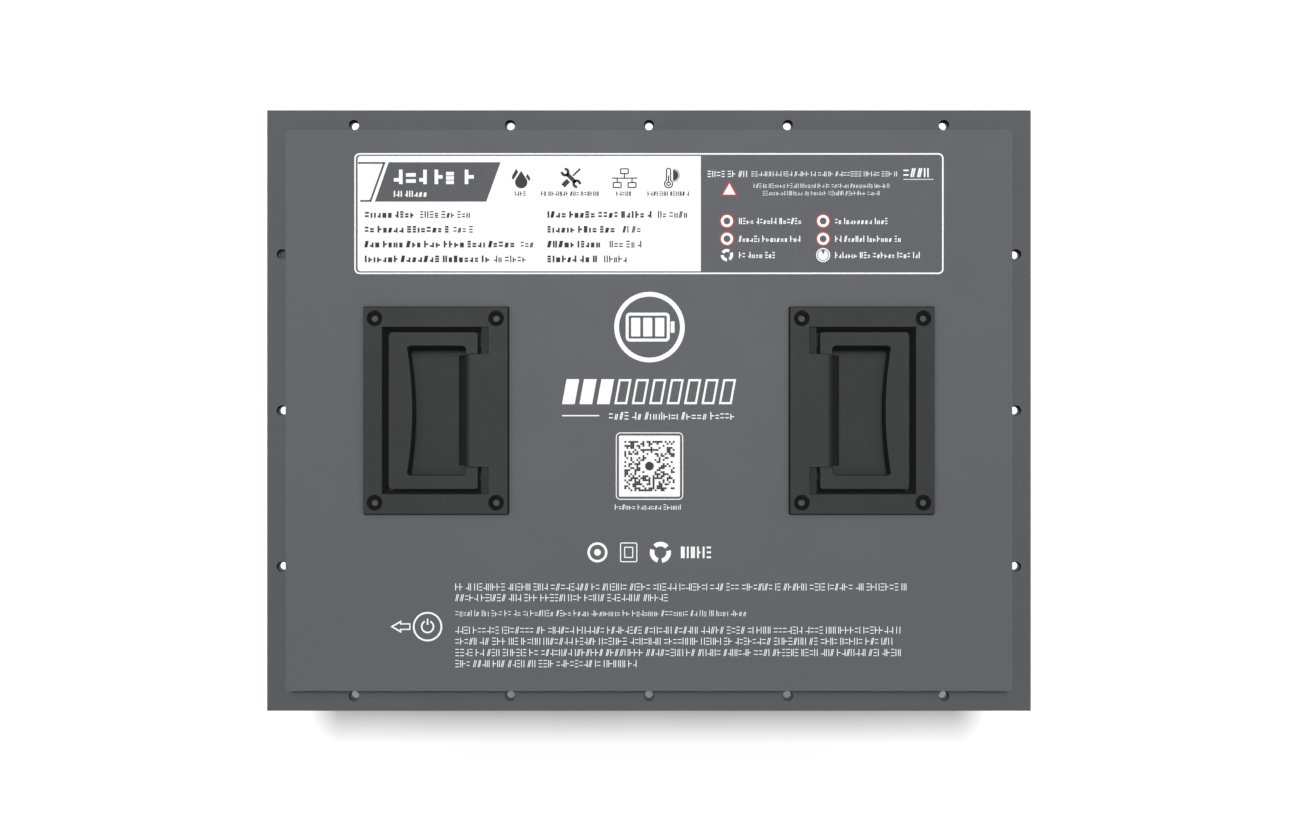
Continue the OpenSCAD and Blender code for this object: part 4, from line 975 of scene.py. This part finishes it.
EYE_HEIGHT = 685 * MM          # camera above the flange
VIEW_WIDTH = 749 * MM          # width of the picture at the flange
SHIFT_X, SHIFT_Y = 0.0008, 0.0031
DOME_LIGHT = 0.36
FLOOR_HALF = 6.0
FLOOR_Z = -0.2 * MM
GLOW_FROM, GLOW_TO, GLOW = 0.7, 2.4, 0.65      # the floor fades to white between these distances
LAMP_AIM = (0, 0, 0.1)


def floor():
    mesh = bmesh.new()
    for x, y in rectangle(2 * FLOOR_HALF, 2 * FLOOR_HALF):
        mesh.verts.new((x, y, FLOOR_Z))
    mesh.faces.new(mesh.verts)
    data = bpy.data.meshes.new("floor")
    mesh.to_mesh(data)
    mesh.free()
    obj = bpy.data.objects.new("floor", data)
    bpy.context.scene.collection.objects.link(obj)
    s = Shader("pale floor", (0.92, 0.92, 0.92), 0.8, specular=0.1)
    s.set("Base Color", s.mix(s.noise(0.5, 3), (0.91, 0.91, 0.91), (0.94, 0.94, 0.94)))
    s.set("Emission Color", (1.0, 1.0, 1.0, 1.0))
    s.set("Emission Strength", s.remap(s.far(GLOW_FROM, GLOW_TO), 0.0, 1.0, 0.0, GLOW))
    data.materials.append(s.material)


def soft_light(name, place, size, watts):
    light = bpy.data.lights.new(name, "AREA")
    light.shape = "SQUARE"
    light.size = size
    light.energy = watts
    obj = bpy.data.objects.new(name, light)
    obj.location = place
    aim = Vector(LAMP_AIM) - Vector(place)
    obj.rotation_euler = aim.to_track_quat("-Z", "Y").to_euler()
    bpy.context.scene.collection.objects.link(obj)


def studio():
    """A soft lamp above and behind, a weak low one, and a pale dome that the camera sees as white."""
    world = bpy.data.worlds.new("studio")
    world.use_nodes = True
    tree = world.node_tree
    dome = tree.nodes["Background"]
    dome.inputs[0].default_value = (1.0, 1.0, 1.0, 1.0)
    dome.inputs[1].default_value = DOME_LIGHT
    backdrop = tree.nodes.new("ShaderNodeBackground")
    backdrop.inputs[0].default_value = (1.0, 1.0, 1.0, 1.0)
    path = tree.nodes.new("ShaderNodeLightPath")
    mix = tree.nodes.new("ShaderNodeMixShader")
    tree.links.new(path.outputs["Is Camera Ray"], mix.inputs[0])
    tree.links.new(dome.outputs[0], mix.inputs[1])
    tree.links.new(backdrop.outputs[0], mix.inputs[2])
    tree.links.new(mix.outputs[0], tree.nodes["World Output"].inputs[0])
    bpy.context.scene.world = world
    soft_light("soft lamp", (0.02, 0.67, 2.95), 0.5, 79)
    soft_light("low rear lamp", (0.0, 1.3, 2.85), 0.3, 16)


def camera():
    data = bpy.data.cameras.new("camera")
    data.sensor_width = 36.0
    data.lens = 36.0 * EYE_HEIGHT / VIEW_WIDTH
    data.shift_x, data.shift_y = SHIFT_X, SHIFT_Y
    data.clip_start = 0.01
    data.clip_end = 50
    obj = bpy.data.objects.new("camera", data)
    obj.location = (0, 0, FLANGE_TOP + EYE_HEIGHT)
    bpy.context.scene.collection.objects.link(obj)
    bpy.context.scene.camera = obj


MATERIALS = cad_materials()
dress_cad_nodes(MATERIALS)
brighten_screw_sockets()
white_ink = ink("white ink", WHITE_INK)
grey_ink = ink("grey ink", shade(CASE_GREY, 0.9))
text_ink = ink("dark text ink", shade(CASE_GREY, 0.4))
red_ink = ink("red ink", RED_INK)
label_ground(white_ink)
label_header(grey_ink, white_ink)
label_icons(text_ink)
label_rows(text_ink)
label_notes(white_ink, red_ink)
round_mark(white_ink)
charge_gauge(white_ink)
dot_square(white_ink, text_ink)
small_marks(white_ink)
lid_notes(white_ink)
switch_sign(white_ink)
wall_signs(white_ink)
threaded_terminal_studs(MATERIALS["brass"])
grip_springs("left", MATERIALS["spring_steel"])
grip_springs("right", MATERIALS["spring_steel"])
floor()
studio()
camera()
bpy.context.scene.view_settings.view_transform = "Standard"
